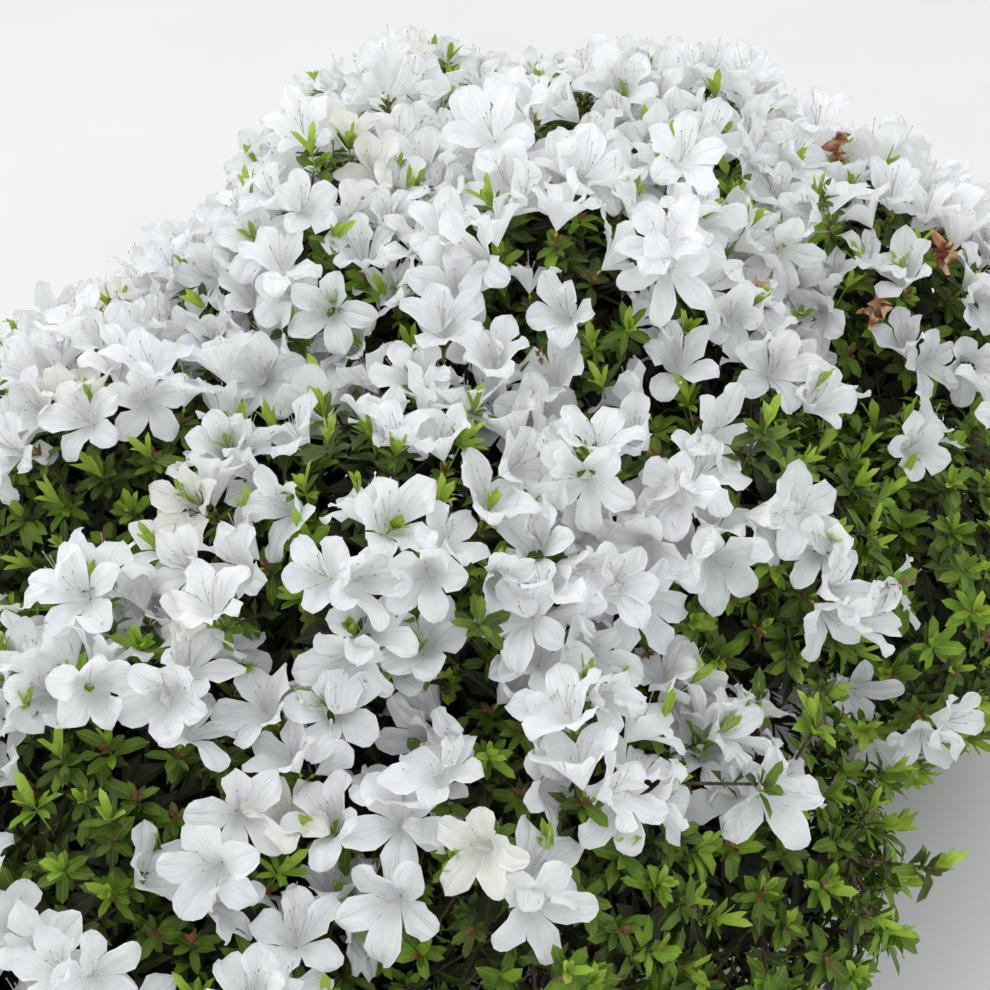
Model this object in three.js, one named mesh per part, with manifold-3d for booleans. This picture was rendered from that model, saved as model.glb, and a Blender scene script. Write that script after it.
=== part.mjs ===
// A white azalea shrub in full bloom, rooted in level ground.
// Millimetres, +Z up. The origin is the centre of the flat cut under the root crown.
// The shrub's long axis lies along X, and its tall end is at +X.
import * as THREE from "three";
import { mergeVertices } from "three/addons/utils/BufferGeometryUtils.js";
import Module from "manifold-3d";

const wasm = await Module();
wasm.setup();

// The dome on which the billows of foliage are centred: an egg in plan, wider and taller towards +X.
const DOME = { halfLength: 642, halfDepth: 410, rise: 392, foot: 187, egg: 0.27, tilt: 0.35 };
// Billows lie on the dome at even spacing by the golden angle, from its top down past its widest ring.
const BILLOWS = { count: 26, radius: 212, lowest: -0.05, turn: 302, jitter: 0.1 };
const CROWN_HEART = new THREE.Vector3(0, 0, 150);

// The root crown, from the flat cut up to the place where the stems leave it.
const TRUNK = { flare: 96, waist: 60, height: 124, lean: 0.06, lobes: 5, lobeDepth: 0.14, sides: 20 };
// Stems and boughs: radius where they start and where they enter their foliage.
const LEADER = { root: 13, tip: 7.5 };
const SIDE_BOUGH = { root: 9, tip: 6 };
const BOUGH_SIDES = 5;
const BOUGH_STEPS = 4;
const JOINT_GAP = 0.3;

// Foliage: a pad of dense growth, shoots that stand out of it, and what they carry.
const SHOOT_SPACING = 104;
const SHOOT_ROOM = 24;
const SHOOT = { root: 6, tip: 3.6, sides: 3, lift: 0.35 };
const VIGOROUS = { share: 0.07, reach: 1.16 };
const TIP_REACH = [0.86, 0.96];
const PAD = { width: 1, depth: 0.58, shift: 0.12, detail: 1, gap: 6, rough: 0.2 };
const LEAF = { length: 82, width: 34, thickness: 2.6, perShoot: 2, splay: 56 };
const BLOSSOM = { radius: 62, depth: 44, notch: 0.58, throat: 0.3, lobes: 5, sizes: [1, 0.86, 0.72, 0.6] };
const ROOT_SUNK = 8;
const SPACE_GAP = 1.5;
const GROUND_GAP = 12;
const SLIVER = 0.3;
// Blossom starts at this height, and higher on the leafy side.
const BLOOM = { line: 120, leafyRise: 390, leafyAzimuth: -86, leafyPower: 0.7, fade: 150, share: 0.95 };

const UP = new THREE.Vector3(0, 0, 1);
const GOLDEN_ANGLE = Math.PI * (3 - Math.sqrt(5));
const radians = THREE.MathUtils.degToRad;
const vector = (x, y, z) => new THREE.Vector3(x, y, z);

const BARK = new THREE.MeshStandardMaterial({ color: 0x4a382c, roughness: 0.9, metalness: 0 });
const PETALS = new THREE.MeshStandardMaterial({ color: 0xf1f1f4, roughness: 0.6, metalness: 0 });
const LEAVES = new THREE.MeshStandardMaterial({ color: 0x4f7a2c, roughness: 0.55, metalness: 0 });

// The seeded rule behind every irregularity: a repeatable number from 0 to 1 for each seed.
function scatter(seed) {
  const wave = Math.sin(seed * 12.9898) * 43758.5453;
  return wave - Math.floor(wave);
}

// A geometry with nothing but positions, its shared vertices merged.
function merged(geometry) {
  geometry.deleteAttribute("normal");
  geometry.deleteAttribute("uv");
  return mergeVertices(geometry, 1e-4);
}

function solidOf(geometry) {
  const vertProperties = geometry.attributes.position.array;
  const triVerts = new Uint32Array(geometry.index.array);
  return new wasm.Manifold(new wasm.Mesh({ numProp: 3, vertProperties, triVerts }));
}

// The largest body of a solid: loose scraps and sealed hollows are left behind.
function largestBody(solid) {
  return solid.decompose().reduce((best, body) => (body.volume() > best.volume() ? body : best));
}

function geometryOf(solid) {
  const mesh = solid.getMesh();
  const positions = new Float32Array(mesh.numVert * 3);
  for (let i = 0; i < mesh.numVert; i++) {
    const start = i * mesh.numProp;
    positions.set(mesh.vertProperties.subarray(start, start + 3), i * 3);
  }
  const geometry = new THREE.BufferGeometry();
  geometry.setAttribute("position", new THREE.BufferAttribute(positions, 3));
  geometry.setIndex(new THREE.BufferAttribute(new Uint32Array(mesh.triVerts), 1));
  geometry.computeVertexNormals();
  return geometry;
}

// The billow at a place in the spiral that winds down the dome.
function billowAt(k) {
  const seed = 100 + k;
  const level = 1 + ((BILLOWS.lowest - 1) * (k + 0.5)) / BILLOWS.count;
  const azimuth = radians(BILLOWS.turn) + k * GOLDEN_ANGLE;
  const reach = Math.sqrt(1 - level * level) * (1 + BILLOWS.jitter * (scatter(seed + 0.3) - 0.5));
  const x = DOME.halfLength * reach * Math.cos(azimuth);
  const y = DOME.halfDepth * reach * Math.sin(azimuth) * (1 + (DOME.egg * x) / DOME.halfLength);
  const rise = DOME.rise * level * (1 + (DOME.tilt * x) / DOME.halfLength);
  const centre = vector(x, y, DOME.foot + rise);
  const outward = centre.clone().sub(CROWN_HEART).normalize();
  return { name: String(k + 1).padStart(2, "0"), level, seed, centre, outward, radius: BILLOWS.radius };
}

const billows = Array.from({ length: BILLOWS.count }, (_, k) => billowAt(k));

// How far a point lies inside a billow's own space, which flat planes part from its neighbours'.
function depthInSpace(billow, point) {
  const power = (b) => point.distanceToSquared(b.centre) - b.radius ** 2;
  const own = power(billow);
  const others = billows.filter((b) => b !== billow);
  return Math.min(...others.map((b) => (power(b) - own) / (2 * b.centre.distanceTo(billow.centre))));
}

const insideSpace = (billow, points, gap = SPACE_GAP) =>
  points.every((p) => p.z > GROUND_GAP && depthInSpace(billow, p) > gap);

// A closed skin over rings of points, each counterclockwise about the way along. A ring may have its own
// number of points, and the first and the last one are single points.
function loft(rings) {
  const firsts = rings.map((_, r) => rings.slice(0, r).reduce((sum, ring) => sum + ring.length, 0));
  const index = [];
  for (let r = 0; r + 1 < rings.length; r++) {
    const [n, m] = [rings[r].length, rings[r + 1].length];
    const below = (i) => firsts[r] + (i % n);
    const above = (j) => firsts[r + 1] + (j % m);
    let i = 0;
    let j = 0;
    while (i < (n > 1 ? n : 0) || j < (m > 1 ? m : 0)) {
      const belowNext = n > 1 && i < n && (m === 1 || (i + 1) / n <= (j + 1) / m || j === m);
      if (belowNext) index.push(below(i), below(++i), above(j));
      else index.push(below(i), above(j + 1), above(j++));
    }
  }
  const geometry = new THREE.BufferGeometry().setFromPoints(rings.flat());
  return geometry.setIndex(index);
}

// A ring of points about a centre, square to a direction. The radius may change around the ring.
function ring(centre, direction, count, radiusAt, start = 0) {
  const side = vector(0.31, 0.95, 0.05).cross(direction).normalize();
  const other = direction.clone().cross(side);
  return Array.from({ length: count }, (_, i) => {
    const angle = start + (2 * Math.PI * i) / count;
    const point = centre.clone().addScaledVector(side, radiusAt(i) * Math.cos(angle));
    return point.addScaledVector(other, radiusAt(i) * Math.sin(angle));
  });
}

// A limb of tapering radius along a stretch of a curve.
function limbGeometry(curve, from, to, radiusAt, sides, steps) {
  const rings = Array.from({ length: steps + 1 }, (_, s) => {
    const along = from + ((to - from) * s) / steps;
    const radius = radiusAt(s / steps);
    return ring(curve.getPointAt(along), curve.getTangentAt(along), sides, () => radius);
  });
  return loft([[curve.getPointAt(from)], ...rings, [curve.getPointAt(to)]]);
}

const taper = (root, tip) => (share) => root + (tip - root) * share;

// The root crown: a turned profile whose foot spreads into shallow root lobes, and which leans a little.
function trunkGeometry(grow) {
  const { flare, waist, height, lean, lobes, lobeDepth, sides } = TRUNK;
  const profile = [
    [0, 0],
    [flare, 0],
    [waist * 1.28, height * 0.13],
    [waist * 1.08, height * 0.34],
    [waist, height * 0.6],
    [waist * 0.88, height * 0.84],
    [waist * 0.5, height],
    [0, height],
  ];
  const grown = profile.map(([r, z]) => new THREE.Vector2(r > 0 ? r + grow : 0, z > 0 ? z + grow : 0));
  const turned = new THREE.LatheGeometry(grown, sides);
  turned.rotateX(Math.PI / 2);
  const trunk = merged(turned);
  const position = trunk.attributes.position;
  for (let i = 0; i < position.count; i++) {
    const [x, y, z] = [position.getX(i), position.getY(i), position.getZ(i)];
    const spread = 1 + lobeDepth * Math.cos(lobes * Math.atan2(y, x)) * Math.max(0, 1 - (2 * z) / height);
    position.setXYZ(i, x * spread + lean * z, y * spread, z);
  }
  return trunk;
}

// The stem that carries a billow: a curve from its foot to the heart of the foliage.
function stemCurve(foot, billow, sag) {
  const heart = billow.centre.clone().addScaledVector(billow.outward, billow.radius * PAD.shift);
  const middle = foot.clone().lerp(heart, 0.5);
  middle.z -= sag * foot.distanceTo(heart);
  return new THREE.QuadraticBezierCurve3(foot, middle, heart);
}

// A limb is a bough up to where it enters the foliage, and the foliage's own stem from there on.
function limbOf(billow, foot, sag, size) {
  const curve = stemCurve(foot, billow, sag);
  const length = curve.getLength();
  const end = 1 - (billow.radius * (PAD.shift + PAD.depth)) / length;
  return { name: `bough_${billow.name}`, billow, curve, end, gap: JOINT_GAP / length, size };
}

// Where a stem leaves the root crown, how deep its arc sags, and how low a billow hangs on a side bough.
const STEM_FOOT = { low: 56, high: 88, ring: [34, 18] };
const SAG = { stem: 0.05, side: 0.04 };
const SIDE_LEVEL = 0.3;
const SIDE_FORK = { first: 0.2, step: 0.13 };

// Stems stand in a ring on the root crown, the steepest ones highest and nearest to the middle.
function stemOf(billow) {
  const azimuth = Math.atan2(billow.centre.y, billow.centre.x);
  const ringRadius = THREE.MathUtils.lerp(...STEM_FOOT.ring, billow.level);
  const height = THREE.MathUtils.lerp(STEM_FOOT.low, STEM_FOOT.high, billow.level);
  const foot = vector(ringRadius * Math.cos(azimuth), ringRadius * Math.sin(azimuth), height);
  return limbOf(billow, foot, SAG.stem, LEADER);
}

// A low billow hangs on a side bough of the nearest stem. Each further one on a stem forks higher up.
function sideBoughs(stems) {
  const used = new Map();
  return billows
    .filter((b) => b.level < SIDE_LEVEL)
    .map((billow) => {
      const distance = (limb) => limb.billow.centre.distanceTo(billow.centre);
      const leader = stems.reduce((best, limb) => (distance(limb) < distance(best) ? limb : best));
      const order = used.get(leader) ?? 0;
      used.set(leader, order + 1);
      const foot = leader.curve.getPointAt(SIDE_FORK.first + SIDE_FORK.step * order);
      return { ...limbOf(billow, foot, SAG.side, SIDE_BOUGH), leader };
    });
}

const stems = billows.filter((b) => b.level >= SIDE_LEVEL).map(stemOf);
const limbs = [...stems, ...sideBoughs(stems)];

function boughSolid(limb, grow) {
  const radiusAt = taper(limb.size.root + grow, limb.size.tip + grow);
  return solidOf(limbGeometry(limb.curve, 0, limb.end, radiusAt, BOUGH_SIDES, BOUGH_STEPS));
}

// The share of shoots that bloom at a point: none under the bloom line, most of them well above it.
function bloomShare(point) {
  const turned = Math.cos(Math.atan2(point.y, point.x) - radians(BLOOM.leafyAzimuth));
  const line = BLOOM.line + BLOOM.leafyRise * Math.max(0, turned) ** BLOOM.leafyPower;
  return BLOOM.share * THREE.MathUtils.clamp((point.z - line) / BLOOM.fade, 0, 1);
}

// The shoot tips of a billow: even over its ball by the golden angle, where they face out of the crown.
function shootTips(billow) {
  const count = Math.round((4 * Math.PI * billow.radius ** 2) / SHOOT_SPACING ** 2);
  const tips = [];
  for (let k = 0; k < count; k++) {
    const seed = billow.seed * 10 + k;
    const z = 1 - (2 * k + 1) / count;
    const turn = k * GOLDEN_ANGLE + billow.seed;
    const flat = Math.sqrt(1 - z * z);
    const direction = vector(flat * Math.cos(turn), flat * Math.sin(turn), z);
    const vigorous = scatter(seed + 0.1) < VIGOROUS.share && z > 0.2;
    const reach = vigorous ? VIGOROUS.reach : THREE.MathUtils.lerp(...TIP_REACH, scatter(seed + 0.2));
    const point = billow.centre.clone().addScaledVector(direction, billow.radius * reach);
    const facesOut = direction.dot(billow.outward) > -0.15;
    if (facesOut && insideSpace(billow, [point], SHOOT_ROOM)) {
      const blooms = scatter(seed + 0.4) < bloomShare(point);
      tips.push({ seed, direction, point, blooms });
    }
  }
  return tips;
}

// A geometry moved so that its +Z points along a direction, and turned about it by an angle.
function placedAlong(geometry, origin, direction, turn) {
  const aim = new THREE.Quaternion().setFromUnitVectors(UP, direction);
  const spin = new THREE.Quaternion().setFromAxisAngle(UP, turn);
  geometry.applyQuaternion(aim.multiply(spin));
  return geometry.translate(origin.x, origin.y, origin.z);
}

// A leaf: an eight-faced blade along +Z, its root at the origin.
function leafGeometry() {
  const leaf = merged(new THREE.OctahedronGeometry(1, 0));
  leaf.scale(LEAF.width / 2, LEAF.thickness / 2, LEAF.length / 2);
  return leaf.translate(0, 0, LEAF.length / 2);
}

// A shoot in bloom: a three-sided twig that widens into a funnel with a lobed rim and a sunken throat.
function bloomingShoot(foot, tip, axis, spin, size) {
  const along = (distance) => tip.clone().addScaledVector(axis, distance * size);
  const aim = tip.clone().sub(foot).normalize();
  const lobe = (i) => BLOSSOM.radius * size * (i % 2 === 0 ? 1 : BLOSSOM.notch);
  return loft([
    [foot],
    ring(foot, aim, SHOOT.sides, () => SHOOT.root, spin),
    ring(tip, axis, SHOOT.sides, () => SHOOT.tip, spin),
    ring(along(BLOSSOM.depth), axis, BLOSSOM.lobes * 2, lobe, spin),
    [along(BLOSSOM.depth * BLOSSOM.throat)],
  ]);
}

// A leafy shoot: the twig by itself, then a whorl of leaves whose roots are sunk into its tip.
function leafyShoot(foot, tip, axis, spin, seed) {
  const twig = limbGeometry(new THREE.LineCurve3(foot, tip), 0, 1, taper(SHOOT.root, SHOOT.tip), SHOOT.sides, 1);
  const rootPoint = tip.clone().addScaledVector(axis, -ROOT_SUNK);
  const upright = new THREE.Quaternion().setFromUnitVectors(UP, axis);
  const leaves = Array.from({ length: LEAF.perShoot }, (_, i) => {
    const turn = spin + (2 * Math.PI * i) / LEAF.perShoot;
    const splay = radians(LEAF.splay * (0.8 + 0.4 * scatter(seed + i)));
    const aim = vector(Math.sin(splay) * Math.cos(turn), Math.sin(splay) * Math.sin(turn), Math.cos(splay));
    return placedAlong(leafGeometry(), rootPoint, aim.applyQuaternion(upright), turn);
  });
  return [twig, ...leaves];
}

function pointsOf(geometry) {
  const position = geometry.attributes.position;
  return Array.from({ length: position.count }, (_, i) => new THREE.Vector3().fromBufferAttribute(position, i));
}

const obstacles = limbs.map((limb) => {
  const points = limb.curve.getSpacedPoints(12).filter((_, i, all) => i / (all.length - 1) < limb.end);
  return { limb, points };
});

// Clear of every bough, measured along the way between a piece's points and the boughs' middles.
function clearOfBoughs(points) {
  const centre = points.reduce((sum, p) => sum.add(p), vector(0, 0, 0)).divideScalar(points.length);
  return obstacles.every(({ limb, points: line }) => {
    const near = limb.size.root + JOINT_GAP + ROOT_SUNK;
    return [...points, centre].every((p) => line.every((q) => p.distanceTo(q) > near));
  });
}

const fits = (billow, geometry) => {
  const points = pointsOf(geometry);
  return insideSpace(billow, points) && clearOfBoughs(points);
};

// The pieces of one shoot. Where a blossom finds no room, leaves take its place.
function shootPieces(billow, heart, tip) {
  const axis = tip.direction.clone().addScaledVector(UP, SHOOT.lift).normalize();
  const spin = 2 * Math.PI * scatter(tip.seed + 0.5);
  const foot = heart.clone().lerp(tip.point, 0.4);
  for (const size of tip.blooms ? BLOSSOM.sizes : []) {
    const blossom = bloomingShoot(foot, tip.point, axis, spin, size);
    if (fits(billow, blossom)) return [blossom];
  }
  const [twig, ...leaves] = leafyShoot(foot, tip.point, axis, spin, tip.seed);
  const fitting = leaves.filter((leaf) => fits(billow, leaf));
  return fits(billow, twig) && fitting.length > 1 ? [twig, ...fitting] : [];
}

// The dense growth under the shoots: a faceted pad, thin along the way out of the crown, each corner
// drawn in until it lies within the billow's own space.
function padGeometry(billow, heart) {
  const pad = merged(new THREE.IcosahedronGeometry(1, PAD.detail));
  const wide = billow.radius * PAD.width;
  pad.scale(wide, wide, billow.radius * PAD.depth);
  placedAlong(pad, heart, billow.outward, billow.seed);
  const position = pad.attributes.position;
  pointsOf(pad).forEach((corner, i) => {
    corner.lerp(heart, PAD.rough * scatter(billow.seed + 3 * i));
    while (!insideSpace(billow, [corner], PAD.gap)) corner.lerp(heart, 0.08);
    position.setXYZ(i, corner.x, corner.y, corner.z);
  });
  return pad;
}

// One mass of foliage: its stem, its pad, and shoots that branch from the stem's heart.
function massSolid(limb) {
  const { billow, curve, end, gap, size } = limb;
  const heart = curve.getPointAt(1);
  const stem = limbGeometry(curve, end + gap, 1, taper(size.tip, size.tip * 0.7), BOUGH_SIDES, 1);
  const shoots = shootTips(billow).flatMap((tip) => shootPieces(billow, heart, tip));
  const pieces = [stem, padGeometry(billow, heart), ...shoots].map(solidOf);
  let solid = pieces.reduce((sum, piece) => sum.add(piece));
  for (const other of limbs) {
    if (other !== limb) solid = solid.subtract(boughSolid(other, JOINT_GAP));
  }
  return largestBody(solid).simplify(SLIVER);
}

const rootCrown = solidOf(trunkGeometry(JOINT_GAP));

function meshOf(name, geometry, material) {
  const mesh = new THREE.Mesh(geometry, material);
  mesh.name = name;
  return mesh;
}

// A bough is cut clear of the root crown, of the stem that carries it and of the boughs before it.
function boughMesh(limb, order) {
  const before = limbs.slice(0, order).map((other) => boughSolid(other, JOINT_GAP));
  const cut = before.reduce((left, other) => left.subtract(other), boughSolid(limb, 0));
  return meshOf(limb.name, geometryOf(largestBody(cut.subtract(rootCrown))), BARK);
}

// A mass is white where at least a quarter of its shoots would bloom, and green elsewhere.
function massMesh(limb) {
  const tips = shootTips(limb.billow);
  const inBloom = tips.filter((tip) => tip.blooms).length >= tips.length / 4;
  return meshOf(`foliage_${limb.billow.name}`, geometryOf(massSolid(limb)), inBloom ? PETALS : LEAVES);
}

const shrub = new THREE.Group();
shrub.add(meshOf("trunk", trunkGeometry(0), BARK));
shrub.add(...limbs.map(boughMesh));
shrub.add(...limbs.map(massMesh));

export default shrub;
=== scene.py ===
"""A white azalea shrub in full bloom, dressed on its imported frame. Lengths are in metres.

The crown follows the rule of the part's source. Billows of foliage wind down a dome by the golden angle, and
each one bears shoots that lie evenly over its ball and branch from the heart of its stem. Here each of those
shoots forks on into finer twigs, which carry whorls of leaves, young shoots and open flowers.
"""

import logging
import math
from dataclasses import dataclass, field
from enum import Enum
from typing import Self

import bpy
import numpy as np
from mathutils import Matrix, Vector


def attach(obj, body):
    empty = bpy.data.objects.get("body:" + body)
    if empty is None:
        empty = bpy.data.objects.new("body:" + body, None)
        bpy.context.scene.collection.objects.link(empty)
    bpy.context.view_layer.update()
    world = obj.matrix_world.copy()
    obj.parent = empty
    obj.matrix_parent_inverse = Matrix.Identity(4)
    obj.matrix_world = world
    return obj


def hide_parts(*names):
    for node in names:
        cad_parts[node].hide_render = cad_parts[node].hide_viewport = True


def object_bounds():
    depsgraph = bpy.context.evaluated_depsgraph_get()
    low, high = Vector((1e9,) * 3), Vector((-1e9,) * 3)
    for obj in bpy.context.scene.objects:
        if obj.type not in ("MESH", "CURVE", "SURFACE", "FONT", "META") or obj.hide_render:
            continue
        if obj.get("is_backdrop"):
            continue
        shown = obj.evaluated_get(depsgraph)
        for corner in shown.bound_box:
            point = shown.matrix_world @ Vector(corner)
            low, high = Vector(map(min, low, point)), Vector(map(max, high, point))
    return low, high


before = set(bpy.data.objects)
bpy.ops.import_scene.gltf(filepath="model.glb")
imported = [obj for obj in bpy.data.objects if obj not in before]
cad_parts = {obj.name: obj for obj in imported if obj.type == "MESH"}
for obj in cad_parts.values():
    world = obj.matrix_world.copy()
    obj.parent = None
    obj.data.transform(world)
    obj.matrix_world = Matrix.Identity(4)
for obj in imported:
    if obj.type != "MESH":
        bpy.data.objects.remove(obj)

log = logging.getLogger("azalea")

Array = np.ndarray
GOLDEN_ANGLE = math.pi * (3 - math.sqrt(5))
UP = np.array([0.0, 0.0, 1.0])
BODY = "root"


class Slot(Enum):
    """The record's material slots."""

    BARK = "bark"
    BLOSSOM = "blossom"
    LEAF = "leaf"


# Numbers and vectors


def scatter(seed: Array | float) -> Array:
    """The source's seeded rule: the fraction of a fast sine wave, from 0 to 1.

    Args:
        seed: one number or an array of them.

    Returns:
        A repeatable number for each seed.
    """
    wave = np.sin(np.asarray(seed, float) * 12.9898) * 43758.5453
    return wave - np.floor(wave)


def unit(vectors: Array) -> Array:
    """Each vector divided by its length."""
    return vectors / np.maximum(np.linalg.norm(vectors, axis=-1, keepdims=True), 1e-12)


def ease(x: Array) -> Array:
    """The cubic step 3x^2 - 2x^3 between 0 and 1."""
    x = np.clip(x, 0, 1)
    return x * x * (3 - 2 * x)


def mixed(low: float, high: float, share: Array) -> Array:
    """The value at a share of the way from low to high."""
    return low + (high - low) * share


def square_to(axis: Array, spin: Array | float = 0.0) -> tuple[Array, Array]:
    """Two unit vectors square to each axis and to one another, turned about it by an angle.

    Args:
        axis: unit vectors, (..., 3).
        spin: the angle of each in radians, (...).

    Returns:
        The two vectors, each (..., 3). The first, the second and the axis are right-handed.
    """
    steep = np.abs(axis[..., 2:3]) > 0.9
    side = unit(np.cross(np.where(steep, [1.0, 0.0, 0.0], UP), axis))
    other = np.cross(axis, side)
    turn = np.asarray(spin)[..., None]
    return side * np.cos(turn) + other * np.sin(turn), other * np.cos(turn) - side * np.sin(turn)


def tilted(axis: Array, tilt: Array, turn: Array) -> Array:
    """Each axis leaned over by one angle, towards the azimuth that the other angle gives about it."""
    return axis * np.cos(tilt)[..., None] + square_to(axis, turn)[0] * np.sin(tilt)[..., None]


@dataclass(frozen=True)
class Swell:
    """A soft swell through space: half the sum of sine waves that run along slanting ways.

    The ways are in radians to the metre, and each wave has its own start in radians.
    """

    ways: tuple[tuple[float, float, float], ...]
    starts: tuple[float, ...]

    def at(self, points: Array) -> Array:
        """Its height at each point."""
        return np.sin(points @ np.array(self.ways).T + self.starts).sum(1) / 2


class Batch:
    """Many things of one kind, each of their measures an array with one row for each of them."""

    def __len__(self) -> int:
        """How many there are."""
        return len(next(iter(vars(self).values())))

    def only(self, keep: Array) -> Self:
        """The ones that a mask picks."""
        return type(self)(*(rows[keep] for rows in vars(self).values()))

    @classmethod
    def joined(cls, batches: list[Self]) -> Self:
        """Several batches as one."""
        measures = zip(*(vars(batch).values() for batch in batches), strict=True)
        return cls(*(np.concatenate(rows) for rows in measures))


# Meshes


@dataclass
class Skin:
    """Vertices, faces of a few fixed sizes, and one pair of surface coordinates for each vertex."""

    points: Array
    faces: list[Array]
    uv: Array

    @property
    def triangles(self) -> int:
        """The number of triangles that the faces make."""
        return sum(len(f) * (f.shape[1] - 2) for f in self.faces)


def joined(skins: list[Skin]) -> Skin:
    """Several skins as one, their faces renumbered."""
    starts = np.cumsum([0] + [len(s.points) for s in skins[:-1]])
    faces = [f + start for s, start in zip(skins, starts, strict=True) for f in s.faces]
    return Skin(np.concatenate([s.points for s in skins]), faces, np.concatenate([s.uv for s in skins]))


def grid_faces(rows: int, columns: int, closed: bool = False) -> Array:
    """Four-cornered faces of a grid of points that is numbered row by row.

    Args:
        rows: points along the first parameter.
        columns: points along the second parameter.
        closed: whether the last column joins the first one.

    Returns:
        Corner numbers, (faces, 4), which turn from the first parameter towards the second.
    """
    i = np.arange(rows - 1)[:, None]
    j = np.arange(columns if closed else columns - 1)[None, :]
    following = (j + 1) % columns
    corners = [i * columns + j, (i + 1) * columns + j, (i + 1) * columns + following, i * columns + following]
    return np.stack(np.broadcast_arrays(*corners), -1).reshape(-1, 4)


def repeated(faces: Array, count: int, stride: int) -> Array:
    """The faces of one shape, repeated for a number of copies of it that follow one another."""
    return (faces[None] + (np.arange(count) * stride)[:, None, None]).reshape(-1, faces.shape[1])


def tubes(paths: Array, radii: Array, sides: int, relief: Array | None = None, capped: bool = True) -> Skin:
    """Tapering tubes: at each path point a ring of sides points, at the point's radius, square to the path.

    Args:
        paths: points of each path, (tubes, points, 3).
        radii: the radius at each point, (tubes, points).
        sides: points around each ring.
        relief: an optional factor on the radius, (tubes, points, sides).
        capped: whether both ends are closed.

    Returns:
        The tubes as one skin, with shares along and around as coordinates.
    """
    count, steps = radii.shape
    along = unit(np.gradient(paths, axis=1))
    chord = unit(paths[:, -1] - paths[:, 0])
    reference = square_to(chord)[0][:, None]
    side = unit(np.cross(reference, along))
    other = np.cross(along, side)
    angle = math.tau * np.arange(sides) / sides
    around = side[:, :, None] * np.cos(angle)[:, None] + other[:, :, None] * np.sin(angle)[:, None]
    reach = radii[:, :, None] * (1 if relief is None else relief)
    points = paths[:, :, None] + around * reach[..., None]
    walls = grid_faces(steps, sides, closed=True)[:, ::-1]
    ends = np.stack([np.arange(sides)[::-1], np.arange(sides) + (steps - 1) * sides])
    shares = np.stack(np.meshgrid(np.linspace(0, 1, steps), angle / math.tau, indexing="ij"), -1)
    uv = np.broadcast_to(shares, (count, steps, sides, 2))
    faces = [repeated(f, count, steps * sides) for f in ([walls, ends] if capped else [walls])]
    return Skin(points.reshape(-1, 3), faces, uv.reshape(-1, 2))


def mesh_object(name: str, skin: Skin) -> bpy.types.Object:
    """A smooth-shaded object at the origin that holds a skin.

    Args:
        name: the piece's name.
        skin: what it holds.

    Returns:
        The object, linked into the scene.
    """
    mesh = bpy.data.meshes.new(name)
    sizes = np.concatenate([np.full(len(f), f.shape[1]) for f in skin.faces])
    corners = np.concatenate([f.ravel() for f in skin.faces]).astype(np.int32)
    mesh.vertices.add(len(skin.points))
    mesh.vertices.foreach_set("co", skin.points.astype(np.float32).ravel())
    mesh.loops.add(len(corners))
    mesh.loops.foreach_set("vertex_index", corners)
    mesh.polygons.add(len(sizes))
    mesh.polygons.foreach_set("loop_start", (np.cumsum(sizes) - sizes).astype(np.int32))
    mesh.update(calc_edges=True)
    mesh.shade_smooth()
    coordinates = mesh.uv_layers.new(name="surface")
    coordinates.data.foreach_set("uv", skin.uv[corners].astype(np.float32).ravel())
    made = bpy.data.objects.new(name, mesh)
    bpy.context.scene.collection.objects.link(made)
    return made


# Materials


def tone(code: str) -> tuple[float, float, float, float]:
    """A screen colour code such as "f4f6f2" as the light that Blender reckons with."""
    parts = [int(code[i : i + 2], 16) / 255 for i in (0, 2, 4)]
    linear = [p / 12.92 if p <= 0.04045 else ((p + 0.055) / 1.055) ** 2.4 for p in parts]
    return (linear[0], linear[1], linear[2], 1.0)


class Signal:
    """A value that runs through a material. Arithmetic on it adds Math nodes."""

    def __init__(self, tree: "Weave", socket: bpy.types.NodeSocket) -> None:
        """Wraps an output socket of a node in the tree."""
        self.tree = tree
        self.socket = socket

    def _with(self, operation: str, *values: "Signal | float") -> "Signal":
        """The result of a Math node on these values."""
        return self.tree.node("ShaderNodeMath", {"operation": operation}, dict(enumerate(values)))

    def __add__(self, other: "Signal | float") -> "Signal":
        """This plus other."""
        return self._with("ADD", self, other)

    __radd__ = __add__

    def __mul__(self, other: "Signal | float") -> "Signal":
        """This times other."""
        return self._with("MULTIPLY", self, other)

    __rmul__ = __mul__

    def __sub__(self, other: "Signal | float") -> "Signal":
        """This minus other."""
        return self._with("SUBTRACT", self, other)

    def __rsub__(self, other: "Signal | float") -> "Signal":
        """Other minus this."""
        return self._with("SUBTRACT", other, self)

    def fraction(self) -> "Signal":
        """What lies past the last whole number."""
        return self._with("FRACT", self)

    def between(self, low: float, high: float) -> "Signal":
        """A soft step from 0 at low to 1 at high."""
        settings = {"interpolation_type": "SMOOTHSTEP"}
        inputs = {"Value": self, "From Min": low, "From Max": high}
        return self.tree.node("ShaderNodeMapRange", settings, inputs)

    def band(self, low: float, high: float) -> "Signal":
        """A soft ridge: 0 at low, 1 halfway and 0 again at high."""
        middle = (low + high) / 2
        return self.between(low, middle) - self.between(middle, high)


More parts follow.
